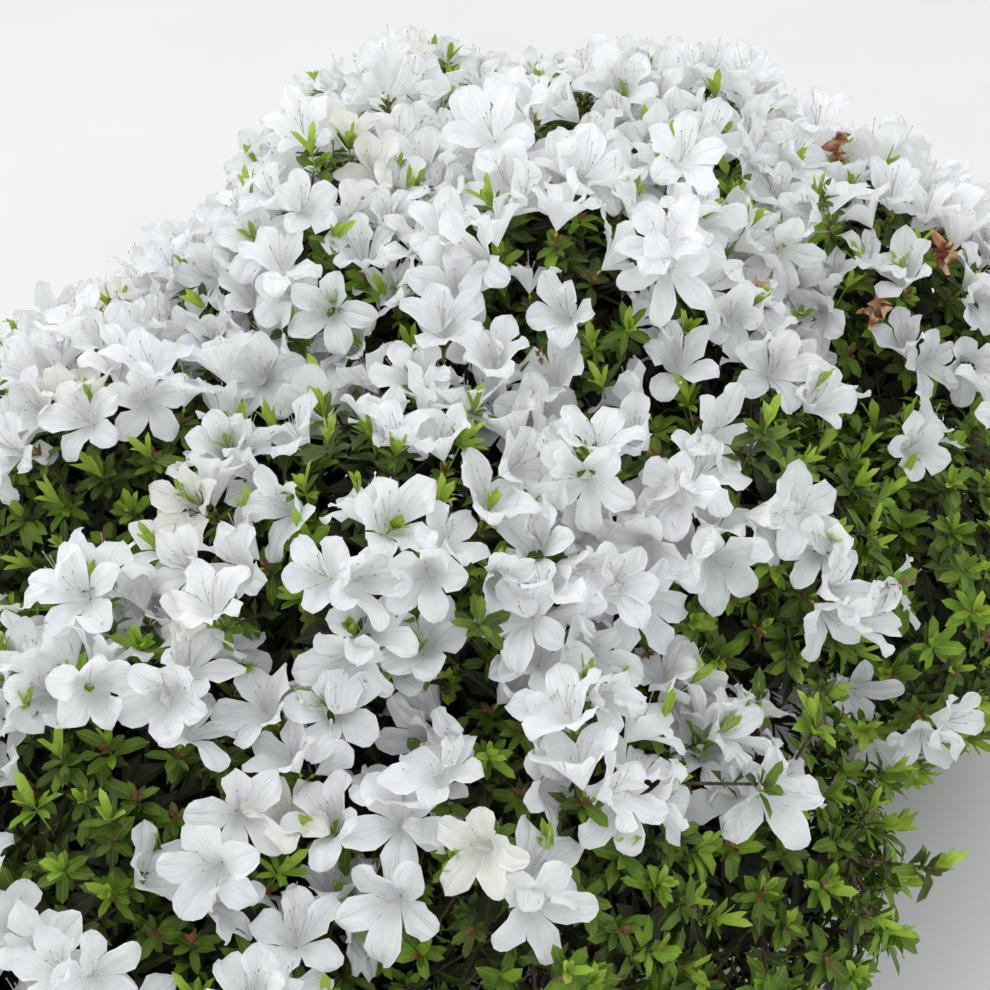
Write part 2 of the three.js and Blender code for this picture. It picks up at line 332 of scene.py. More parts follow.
class Weave:
    """The node tree of one material."""

    def __init__(self, name: str) -> None:
        """Starts a material with an empty tree."""
        self.material = bpy.data.materials.new(name)
        self.material.use_nodes = True
        self.nodes = self.material.node_tree.nodes
        self.links = self.material.node_tree.links
        self.nodes.clear()

    def node(self, kind: str, settings: dict, inputs: dict, output: int | str = 0) -> Signal:
        """Adds any node.

        Args:
            kind: the node's type.
            settings: its properties, which are set first.
            inputs: a value, or a Signal that is linked, for each socket by name or number.
            output: the output that is wrapped, by name or number.

        Returns:
            The wrapped output.
        """
        made = self.nodes.new(kind)
        for key, value in settings.items():
            setattr(made, key, value)
        for key, value in inputs.items():
            if isinstance(value, Signal):
                self.links.new(value.socket, made.inputs[key])
            else:
                made.inputs[key].default_value = value
        return Signal(self, made.outputs[output])

    def noise(self, where: Signal, scale: float, detail: float = 3.0) -> Signal:
        """Soft noise over a place, about 0.5 in the middle."""
        return self.node("ShaderNodeTexNoise", {}, {"Vector": where, "Scale": scale, "Detail": detail})

    def cells(self, where: Signal) -> Signal:
        """How far a place in the plane is from the nearest of many scattered points."""
        settings = {"voronoi_dimensions": "2D"}
        return self.node("ShaderNodeTexVoronoi", settings, {"Vector": where, "Scale": 1.0})

    def place(self, output: str = "Object") -> Signal:
        """The object's or the surface's own coordinates."""
        return self.node("ShaderNodeTexCoord", {}, {}, output)

    def axis(self, where: Signal, name: str) -> Signal:
        """One coordinate of a place: X, Y or Z."""
        return self.node("ShaderNodeSeparateXYZ", {}, {0: where}, name)

    def stretched(self, where: Signal, scale: tuple[float, float, float]) -> Signal:
        """Coordinates with each axis scaled."""
        return self.node("ShaderNodeMapping", {}, {"Vector": where, "Scale": scale})

    def blended(self, share: Signal, low: Signal | tuple, high: Signal | tuple) -> Signal:
        """A colour at a share of the way between two."""
        return self.node("ShaderNodeMix", {"data_type": "RGBA"}, {0: share, 6: low, 7: high}, 2)

    def bump(self, height: Signal, distance: float, strength: float) -> Signal:
        """A bumped normal for a height in units of the distance."""
        inputs = {"Height": height, "Distance": distance, "Strength": strength}
        return self.node("ShaderNodeBump", {}, inputs, "Normal")

    def skin(
        self, colour: Signal, roughness: Signal | float, normal: Signal | None = None, gloss: float = 0.5
    ) -> Signal:
        """The main shader.

        Args:
            colour: the base colour.
            roughness: from 0 for a mirror to 1 for chalk.
            normal: a bumped normal, if any.
            gloss: how strongly the surface shines, 0.5 for most things.

        Returns:
            The shader.
        """
        inputs = {"Base Color": colour, "Roughness": roughness, "Specular IOR Level": gloss}
        if normal is not None:
            inputs["Normal"] = normal
        return self.node("ShaderNodeBsdfPrincipled", {}, inputs)

    def lit_through(self, skin: Signal, share: float, glow: str, normal: Signal | None = None) -> Signal:
        """The shader of something thin.

        Args:
            skin: its skin's shader.
            share: how much of the light goes through it.
            glow: the colour code of that light.
            normal: a bumped normal, if any.

        Returns:
            The mixed shader.
        """
        inputs = {"Color": tone(glow)}
        if normal is not None:
            inputs["Normal"] = normal
        through = self.node("ShaderNodeBsdfTranslucent", {}, inputs)
        return self.node("ShaderNodeMixShader", {}, {"Fac": share, 1: skin, 2: through})

    def finished(self, surface: Signal) -> bpy.types.Material:
        """Links a shader to the output and gives the material."""
        output = self.nodes.new("ShaderNodeOutputMaterial")
        self.links.new(surface.socket, output.inputs["Surface"])
        return self.material


@dataclass(frozen=True)
class PetalFinish:
    """Thin petal: greenish white deep in the throat, ribs along each lobe, and faint speckles on the top one.

    The surface's first coordinate runs from base to tip. The second one runs across the lobes, from one whole
    number to the next. Ribs and veins raise the normal and fade out towards the throat.
    """

    name: str
    light: str
    shade: str
    glow: str = "f6f6f3"
    deep: str = "e9edd6"
    dots: str = "c4a29c"
    through: float = 0.46
    roughness: float = 0.56
    gloss: float = 0.3
    mottle_scale: float = 70.0
    speckle_scale: tuple[float, float, float] = (21.0, 12.0, 1.0)
    vein_scale: tuple[float, float, float] = (2.2, 20.0, 1.0)
    crepe_scale: float = 420.0
    relief: float = 0.0013

    def made(self) -> bpy.types.Material:
        """Builds the material."""
        weave = Weave(self.name)
        place, surface = weave.place(), weave.place("UV")
        along, around = weave.axis(surface, "X"), weave.axis(surface, "Y")
        across = around.fraction()
        mottle = weave.noise(place, self.mottle_scale, 1.0).between(0.35, 0.65)
        colour = weave.blended(mottle, tone(self.shade), tone(self.light))
        colour = weave.blended(0.6 - 0.6 * along.between(0.02, 0.2), colour, tone(self.deep))
        speckled = (1.0 - around.between(0.99, 1.0)) * across.band(0.14, 0.86) * along.band(0.3, 0.78)
        dots = 1.0 - weave.cells(weave.stretched(surface, self.speckle_scale)).between(0.16, 0.26)
        colour = weave.blended(speckled * dots * 0.6, colour, tone(self.dots))
        ribs = across.band(0.1, 0.46) + across.band(0.54, 0.9) - across.band(0.42, 0.58) * 0.7
        veins = weave.noise(weave.stretched(surface, self.vein_scale), 1.0, 1.0)
        crepe = weave.noise(place, self.crepe_scale, 0.0)
        height = (ribs * 1.2 + veins * 1.7) * along.between(0.05, 0.4) + crepe * 0.25
        normal = weave.bump(height, self.relief, 0.7)
        skin = weave.skin(colour, self.roughness, normal, self.gloss)
        return weave.finished(weave.lit_through(skin, self.through, self.glow, normal))


@dataclass(frozen=True)
class LeafFinish:
    """Leaf: satin skin, a paler midrib along its fold, faint mottling and a little light let through."""

    name: str
    light: str
    shade: str
    rib: str
    glow: str
    through: float = 0.16
    roughness: float = 0.42
    gloss: float = 0.2
    mottle_scale: float = 55.0
    wear_scale: float = 120.0
    grain_scale: float = 260.0
    relief: float = 0.0011

    def made(self) -> bpy.types.Material:
        """Builds the material. The surface's second coordinate runs across the blade."""
        weave = Weave(self.name)
        place = weave.place()
        across = weave.axis(weave.place("UV"), "Y")
        mottle = weave.noise(place, self.mottle_scale, 1.0).between(0.3, 0.7)
        colour = weave.blended(mottle, tone(self.shade), tone(self.light))
        colour = weave.blended(across.band(0.41, 0.59) * 0.55, colour, tone(self.rib))
        wear = weave.noise(place, self.wear_scale, 0.0) * 0.24 + (self.roughness - 0.1)
        height = weave.noise(place, self.grain_scale, 1.0) - across.band(0.36, 0.64) * 0.8
        skin = weave.skin(colour, wear, weave.bump(height, self.relief, 0.6), self.gloss)
        return weave.finished(weave.lit_through(skin, self.through, self.glow))


@dataclass(frozen=True)
class BarkFinish:
    """Bark: streaks and cracks along the limb over two browns."""

    name: str
    light: str
    shade: str
    grain: float = 60.0
    roughness: float = 0.85
    relief: float = 0.004

    def made(self) -> bpy.types.Material:
        """Builds the material. The streaks are noise that is drawn out upwards, with fine noise over them."""
        weave = Weave(self.name)
        place = weave.place()
        streaks = weave.noise(weave.stretched(place, (1.0, 1.0, 0.22)), self.grain, 6.0)
        fine = weave.noise(place, self.grain * 7)
        colour = weave.blended(streaks.between(0.32, 0.68), tone(self.shade), tone(self.light))
        normal = weave.bump(streaks + fine * 0.4, self.relief, 0.8)
        return weave.finished(weave.skin(colour, fine * 0.2 + (self.roughness - 0.1), normal))


PETALS = [
    PetalFinish("petal_white", "fafafb", "f1f1f4"),
    PetalFinish("petal_bright", "fdfdfe", "f7f7f9"),
    PetalFinish("petal_pearl", "f5f5f6", "ebecee"),
    PetalFinish("petal_cream", "f8f6f0", "f0ede4", glow="f3f0e7"),
]
SPENT = PetalFinish(
    "petal_spent", "dcb691", "a1623a", glow="b07a4c", deep="8a5a36", dots="7e4a2c", through=0.18
)
FILAMENT = PetalFinish("filament", "fafaf6", "f2f2ec", deep="f6f6f0", through=0.5)
ANTHER = BarkFinish("anther", "e2d4ba", "c4aa86", grain=600.0, roughness=0.6)
# The three tints are dealt by each leaf's shade value, partly its own age and tone and partly painted shade
# in the hollows.
LEAVES = [
    LeafFinish("leaf_old", "45551b", "2f3d0f", "647438", "52700f", through=0.1),
    LeafFinish("leaf_grown", "5d7621", "425a15", "7c9045", "68921a"),
    LeafFinish("leaf_light", "799a2c", "5c7b1a", "96ac4e", "84b122"),
]
# Painted shade: the inner and core leaves take near-black greens that stand in for the shade inside the
# crown.
LEAF_PAINTED_SHADE = LeafFinish("leaf_deep", "2b2f15", "1b1e0b", "404622", "323f12", through=0.05)
LEAF_YOUNG = LeafFinish("leaf_young", "a4bb4c", "7f9f33", "b6c868", "a9c842", through=0.26)
BUD = BarkFinish("bud_scale", "97603c", "623626", grain=300.0, roughness=0.6)
TWIG = BarkFinish("twig_bark", "66513c", "3b2b1f", grain=160.0)
LIMB = BarkFinish("limb_bark", "7a6654", "46372a", grain=70.0)

# What share of the flowers takes each finish above and the spent one, and the leaves' limits of shade
FLOWER_DEAL = (0.0, 0.33, 0.65, 0.95, 0.985, 1.0)
SHADE_LIMITS = (-9.0, 0.36, 0.64, 9.0)


# The crown's rule, as in the part's source


@dataclass(frozen=True)
class Bar:
    """A stretch of the crown's surface that differs from its rule: a round-ended bar, and how strongly."""

    start: tuple[float, float, float]
    end: tuple[float, float, float]
    radius: float
    depth: float = 1.0

    def share(self, points: Array) -> Array:
        """How much of the bar's effect is felt: 1 on its middle line, falling as a bell with the distance.

        Args:
            points: places, (points, 3).

        Returns:
            A share for each.
        """
        start, along = np.array(self.start), np.subtract(self.end, self.start)
        t = np.clip((points - start) @ along / (along @ along), 0, 1)
        away = np.linalg.norm(points - start - t[:, None] * along, axis=1)
        return np.exp(-((away / self.radius) ** 2))


@dataclass
class Billow:
    """One ball of foliage on the dome."""

    index: int
    seed: int
    level: float
    centre: Array
    outward: Array
    radius: float

    @property
    def node(self) -> str:
        """The name of its foliage node."""
        return f"foliage_{self.index + 1:02d}"


@dataclass
class Limb:
    """A stem or bough: an arc from its foot to the heart of the billow that it carries."""

    billow: Billow
    foot: Array
    middle: Array
    heart: Array
    root: float
    tip: float
    end: float = 1.0

    def at(self, share: Array) -> Array:
        """Points of the arc, a quadratic curve that is read by a table of its length.

        Args:
            share: shares of the arc's length.

        Returns:
            A point for each.
        """
        t = np.linspace(0, 1, 201)[:, None]
        line = (1 - t) ** 2 * self.foot + 2 * t * (1 - t) * self.middle + t**2 * self.heart
        gone = np.concatenate([[0], np.cumsum(np.linalg.norm(np.diff(line, axis=0), axis=1))])
        return np.stack([np.interp(np.asarray(share) * gone[-1], gone, line[:, k]) for k in range(3)], -1)

    def length(self) -> float:
        """The arc's length."""
        line = self.at(np.linspace(0, 1, 101))
        return float(np.linalg.norm(np.diff(line, axis=0), axis=1).sum())


@dataclass
class Shoots(Batch):
    """Tips of shoots: where each ends, which way it points, its seed and its billow's number."""

    point: Array
    direction: Array
    seed: Array
    billow: Array


@dataclass
class Crown:
    """The dome of billows, its limbs and its shoots, by the numbers of the part's source."""

    half_length: float = 0.642
    half_depth: float = 0.410
    rise: float = 0.392
    foot: float = 0.187
    egg: float = 0.27
    tilt: float = 0.35
    count: int = 26
    radius: float = 0.212
    lowest: float = -0.05
    turn: float = 302.0
    jitter: float = 0.1
    heart_height: float = 0.150
    pad_shift: float = 0.12
    pad_depth: float = 0.58
    stem_foot: tuple[float, float] = (0.056, 0.088)
    stem_ring: tuple[float, float] = (0.034, 0.018)
    sag: tuple[float, float] = (0.05, 0.04)
    stem_radii: tuple[float, float] = (0.013, 0.0075)
    side_level: float = 0.3
    side_fork: tuple[float, float] = (0.2, 0.13)
    side_radii: tuple[float, float] = (0.009, 0.006)
    vigorous: tuple[float, float] = (0.07, 1.16)
    vigorous_rise: float = 0.2
    outer_reach: float = 0.9
    tip_reach: tuple[float, float] = (0.86, 0.96)
    shoot_lift: float = 0.35
    ground_gap: float = 0.045
    bloom_line: float = 0.120
    leafy_rise: float = 0.390
    leafy_azimuth: float = -89.0
    leafy_power: float = 0.7
    bloom_fade: float = 0.112
    bloom_margin: float = 0.088
    clump: float = 0.045
    clumps: Swell = Swell(((31.0, 12.0, 19.0), (-14.0, 33.0, 11.0), (9.0, -17.0, 36.0)), (0.4, 1.9, 3.1))
    dent_limit: float = 1.9
    hollow_depth: float = 0.26
    hollows: tuple[Bar, ...] = (
        Bar((-0.060, -0.090, 0.760), (-0.035, -0.135, 0.770), 0.030, 0.8),
        Bar((-0.050, -0.185, 0.710), (-0.105, -0.240, 0.673), 0.020, 0.7),
        Bar((0.015, -0.180, 0.770), (-0.020, -0.205, 0.740), 0.022, 0.7),
        Bar((0.100, -0.225, 0.745), (0.155, -0.225, 0.715), 0.026, 0.7),
        Bar((0.215, 0.025, 0.770), (0.195, -0.005, 0.765), 0.030, 0.8),
        Bar((0.015, 0.120, 0.780), (0.005, 0.110, 0.780), 0.024, 0.8),
        Bar((-0.035, -0.260, 0.710), (0.030, -0.345, 0.685), 0.040, 0.9),
        Bar((0.120, -0.375, 0.645), (-0.005, -0.412, 0.645), 0.038, 1.0),
        Bar((0.230, -0.330, 0.605), (0.210, -0.375, 0.600), 0.030, 0.8),
        Bar((-0.210, -0.028, 0.705), (-0.280, -0.078, 0.705), 0.036, 0.9),
        Bar((-0.428, 0.200, 0.578), (-0.368, 0.085, 0.625), 0.047, 0.9),
        Bar((-0.375, -0.090, 0.655), (-0.400, -0.125, 0.625), 0.030, 0.8),
        Bar((-0.385, -0.190, 0.588), (-0.338, -0.248, 0.575), 0.029, 0.9),
        Bar((-0.308, -0.235, 0.612), (-0.321, -0.251, 0.580), 0.018, 0.7),
        Bar((-0.175, -0.368, 0.572), (-0.135, -0.425, 0.540), 0.034, 0.9),
        Bar((-0.352, -0.290, 0.588), (-0.370, -0.325, 0.558), 0.027, 0.9),
        Bar((-0.610, -0.005, 0.565), (-0.540, -0.118, 0.577), 0.059, 1.1),
        Bar((-0.620, -0.110, 0.530), (-0.605, -0.185, 0.495), 0.045, 1.0),
        Bar((-0.500, -0.205, 0.520), (-0.460, -0.285, 0.525), 0.026, 0.7),
    )
    drifts: tuple[Bar, ...] = (
        Bar((-0.170, -0.365, 0.525), (-0.210, -0.420, 0.450), 0.042),
        Bar((-0.035, -0.445, 0.545), (0.015, -0.450, 0.525), 0.028),
        Bar((0.010, -0.460, 0.395), (0.035, -0.490, 0.375), 0.030),
        Bar((0.200, -0.395, 0.580), (0.190, -0.435, 0.570), 0.026),
        Bar((-0.385, -0.350, 0.500), (-0.305, -0.380, 0.520), 0.034),
        Bar((-0.330, -0.345, 0.550), (-0.280, -0.355, 0.548), 0.028),
        Bar((-0.105, -0.340, 0.600), (-0.055, -0.405, 0.590), 0.032),
    )
    dents: tuple[Bar, ...] = (
        Bar((0.080, 0.000, 0.830), (0.165, 0.000, 0.825), 0.075, 0.26),
        Bar((-0.060, 0.430, 0.630), (0.000, 0.280, 0.780), 0.085, 1.7),
        Bar((0.150, 0.500, 0.570), (0.320, 0.520, 0.600), 0.095, 1.9),
        Bar((0.240, 0.600, 0.460), (0.290, 0.520, 0.530), 0.070, 1.2),
        Bar((0.385, 0.310, 0.735), (0.385, 0.270, 0.760), 0.050, 1.0),
        Bar((0.330, 0.090, 0.810), (0.460, 0.050, 0.770), 0.070, 1.3),
        Bar((0.560, 0.180, 0.700), (0.660, 0.270, 0.650), 0.080, 1.3),
        Bar((0.440, -0.130, 0.740), (0.520, -0.165, 0.700), 0.050, 1.0),
        Bar((0.600, -0.100, 0.650), (0.770, -0.050, 0.570), 0.060, 0.9),
        Bar((0.520, -0.320, 0.680), (0.700, -0.275, 0.600), 0.060, 0.9),
        Bar((0.390, -0.070, 0.810), (0.400, -0.090, 0.800), 0.035, -0.5),
    )
    billows: list[Billow] = field(default_factory=list)
    limbs: list[Limb] = field(default_factory=list)

    def __post_init__(self) -> None:
        """Places the billows and draws their limbs."""
        self.billows = [self._billow(k) for k in range(self.count)]
        self.centres = np.array([b.centre for b in self.billows])
        self.limbs = self._stems()
        self.limbs += self._side_boughs()

    def _billow(self, k: int) -> Billow:
        """The billow at a place in the spiral that winds down the dome."""
        seed = 100 + k
        level = 1 + ((self.lowest - 1) * (k + 0.5)) / self.count
        azimuth = math.radians(self.turn) + k * GOLDEN_ANGLE
        reach = math.sqrt(1 - level * level) * (1 + self.jitter * (float(scatter(seed + 0.3)) - 0.5))
        x = self.half_length * reach * math.cos(azimuth)
        y = self.half_depth * reach * math.sin(azimuth) * (1 + self.egg * x / self.half_length)
        z = self.foot + self.rise * level * (1 + self.tilt * x / self.half_length)
        centre = np.array([x, y, z])
        return Billow(k, seed, level, centre, unit(centre - [0, 0, self.heart_height]), self.radius)

    def _limb(self, billow: Billow, foot: Array, sag: float, radii: tuple[float, float]) -> Limb:
        """A limb for a billow, which hangs below its chord by a share of the span.

        Args:
            billow: what it carries.
            foot: where it starts.
            sag: the share by which its middle is lowered.
            radii: at its root and its tip.

        Returns:
            The limb, which ends where it enters the core of its billow.
        """
        heart = billow.centre + billow.outward * billow.radius * self.pad_shift
        middle = (foot + heart) / 2 - UP * sag * np.linalg.norm(heart - foot)
        limb = Limb(billow, foot, middle, heart, *radii)
        limb.end = 1 - billow.radius * (self.pad_shift + self.pad_depth) / limb.length()
        return limb

    def _stems(self) -> list[Limb]:
        """The stems that rise from the root crown, the steepest ones highest and nearest to the middle."""
        stems = []
        for billow in (b for b in self.billows if b.level >= self.side_level):
            azimuth = math.atan2(billow.centre[1], billow.centre[0])
            ring, height = mixed(*self.stem_ring, billow.level), mixed(*self.stem_foot, billow.level)
            foot = np.array([ring * math.cos(azimuth), ring * math.sin(azimuth), height])
            stems.append(self._limb(billow, foot, self.sag[0], self.stem_radii))
        return stems

    def _side_boughs(self) -> list[Limb]:
        """Each low billow's bough, from the nearest stem. Each further one on a stem forks higher up."""
        used: dict[int, int] = {}
        boughs = []
        for billow in (b for b in self.billows if b.level < self.side_level):
            away = [np.linalg.norm(stem.billow.centre - billow.centre) for stem in self.limbs]
            leader = int(np.argmin(away))
            order = used.get(leader, 0)
            used[leader] = order + 1
            foot = self.limbs[leader].at(self.side_fork[0] + self.side_fork[1] * order)
            boughs.append(self._limb(billow, foot, self.sag[1], self.side_radii))
        return boughs

    def room(self, billow: Billow, points: Array) -> Array:
        """How far points lie inside a billow's own space, which flat planes part from its neighbours'.

        Args:
            billow: whose space it is.
            points: places, (points, 3).

        Returns:
            The distance from the nearest plane, which is below zero outside the space.
        """
        power = ((points[:, None] - self.centres) ** 2).sum(-1) - self.radius**2
        apart = np.linalg.norm(self.centres - billow.centre, axis=1)
        others = np.arange(self.count) != billow.index
        return ((power[:, others] - power[:, [billow.index]]) / (2 * apart[others])).min(1)

    def bloom_share(self, points: Array) -> Array:
        """The share of the shoots that bloom at each point.

        It is none under the bloom line, which rises on the leafy side with a power of the cosine of the
        azimuth from there, and grows to all of them from the margin to the fade above it. Drifts bloom too.

        Args:
            points: places, (points, 3).

        Returns:
            A share for each.
        """
        turned = np.cos(np.arctan2(points[:, 1], points[:, 0]) - math.radians(self.leafy_azimuth))
        line = self.bloom_line + self.leafy_rise * np.maximum(0, turned) ** self.leafy_power
        above = points[:, 2] - line - self.bloom_margin
        ruled = np.clip(above / (self.bloom_fade - self.bloom_margin), 0, 1)
        drifted = np.max([drift.share(points) for drift in self.drifts], axis=0)
        return np.maximum(ruled, ease(drifted * 2 - 0.3))

    def hollowness(self, points: Array, deep: bool = False) -> Array:
        """How far points lie in a hollow, from 0 to 1, and counted by the hollows' depths where asked."""
        return np.max([h.share(points) * (h.depth if deep else 1) for h in self.hollows], axis=0)

    def dented(self, points: Array) -> Array:
        """How far the dome falls short of its rule, or stands above it, without a change in what blooms."""
        return np.minimum(np.sum([d.share(points) * d.depth for d in self.dents], axis=0), self.dent_limit)

    def shoots(
        self, spacing: float, reach: tuple[float, float], room: float, facing: float = -0.15
    ) -> Shoots:
        """The source's shoot tips at any spacing, even over each ball by the golden angle.

        Args:
            spacing: the distance between neighbours on a billow's ball.
            reach: the lowest and the highest share of the ball's radius at which they end.
            room: how far inside the billow's own space a tip has to be.
            facing: the least cosine between a tip's direction and the billow's way out of the crown.

        Returns:
            All tips. The crown's clumps swell them, and its hollows and dents draw them in.
        """
        found = []
        for billow in self.billows:
            count = round(4 * math.pi * billow.radius**2 / spacing**2)
            k = np.arange(count)
            seed = billow.seed * 10.0 + k
            z = 1 - (2 * k + 1) / count
            turn = k * GOLDEN_ANGLE + billow.seed
            flat = np.sqrt(1 - z * z)
            direction = np.stack([flat * np.cos(turn), flat * np.sin(turn), z], -1)
            vigorous = (scatter(seed + 0.1) < self.vigorous[0]) & (z > self.vigorous_rise)
            vigorous &= reach[1] > self.outer_reach
            share = np.where(vigorous, self.vigorous[1], mixed(*reach, scatter(seed + 0.2)))
            point = billow.centre + direction * (billow.radius * share)[:, None]
            lower = self.hollowness(point, deep=True) + self.dented(point)
            share = share * (1 + self.clump * self.clumps.at(point) - self.hollow_depth * lower)
            point = billow.centre + direction * (billow.radius * share)[:, None]
            outwards = direction @ billow.outward > facing
            keep = outwards & (point[:, 2] > self.ground_gap) & (self.room(billow, point) > room)
            found.append(Shoots(point[keep], direction[keep], seed[keep], np.full(keep.sum(), billow.index)))
        return Shoots.joined(found)


# Sub-assemblies


@dataclass
class RootCrown:
    """The trunk: a turned, leaning profile whose foot spreads into shallow root lobes, with bark relief.

    The rises are shares of its height, and the widths at all of them but the first are shares of its waist.
    """

    flare: float = 0.096
    waist: float = 0.060
    height: float = 0.124
    rises: tuple[float, ...] = (0.0, 0.13, 0.34, 0.6, 0.84, 1.0)
    widths: tuple[float, ...] = (1.28, 1.08, 1.0, 0.88, 0.5)
    lean: float = 0.06
    lobes: int = 5
    lobe_depth: float = 0.14
    around: int = 96
    up: int = 28

    def skin(self) -> Skin:
        """Radius by height from the profile, times the lobes, times bark ridges that wander with height."""
        heights = np.array(self.rises) * self.height
        reaches = np.array([self.flare, *(self.waist * width for width in self.widths)])
        share, marks = np.linspace(0, 1, self.up), np.linspace(0, 1, len(heights))
        z = np.interp(share, marks, heights)[:, None]
        radius = np.interp(share, marks, reaches)[:, None]
        angle = (math.tau * np.arange(self.around) / self.around)[None, :]
        lobes = 1 + self.lobe_depth * np.cos(self.lobes * angle) * np.maximum(0, 1 - 2 * z / self.height)
        wander = 1.6 * np.sin(z * 60 + 2 * np.sin(3 * angle))
        ridges = 1 - 0.02 - 0.02 * np.sin(23 * angle + wander) - 0.015 * np.sin(41 * angle - 2 * wander)
        r = radius * lobes * ridges
        x = r * np.cos(angle) + self.lean * z
        points = np.stack(np.broadcast_arrays(x, r * np.sin(angle), z), -1).reshape(-1, 3)
        uv = np.stack(np.broadcast_arrays(share[:, None], angle / math.tau), -1).reshape(-1, 2)
        ring = np.arange(self.around)
        caps = np.stack([ring[::-1], ring + (self.up - 1) * self.around])
        return Skin(points, [grid_faces(self.up, self.around, closed=True)[:, ::-1], caps], uv)


@dataclass
class Limbs:
    """Stems and boughs: tapering arcs with knuckles and bark ridges along them."""

    crown: Crown
    sides: int = 12
    steps: int = 26
    ridge: float = 0.05
    knuckle: float = 0.04

    def skin(self) -> Skin:
        """Each limb's arc from its foot to its billow's heart.

        The radius narrows evenly from the root to the limb's end and then runs on inside its billow. It is
        multiplied by the relief, which is a sum of sine waves around the limb and along it.

        Returns:
            All limbs as one skin.
        """
        share = np.linspace(0, 1, self.steps)
        limbs = self.crown.limbs
        paths = np.array([limb.at(share) for limb in limbs])
        root, tip, end = np.array([[limb.root, limb.tip, limb.end] for limb in limbs]).T[..., None]
        reached = share[None, :] / end
        radii = np.where(reached < 1, root + (tip - root) * reached, tip * np.clip(1.9 - reached, 0.35, 1))
        angle = math.tau * np.arange(self.sides) / self.sides
        phase = np.arange(len(limbs))[:, None, None]
        ridge = np.sin(4 * angle + 9 * share[:, None] + phase) * self.ridge
        knuckle = np.sin(23 * share[:, None] + 2.1 * phase) * self.knuckle
        return tubes(paths, radii, self.sides, 0.97 + ridge + knuckle)


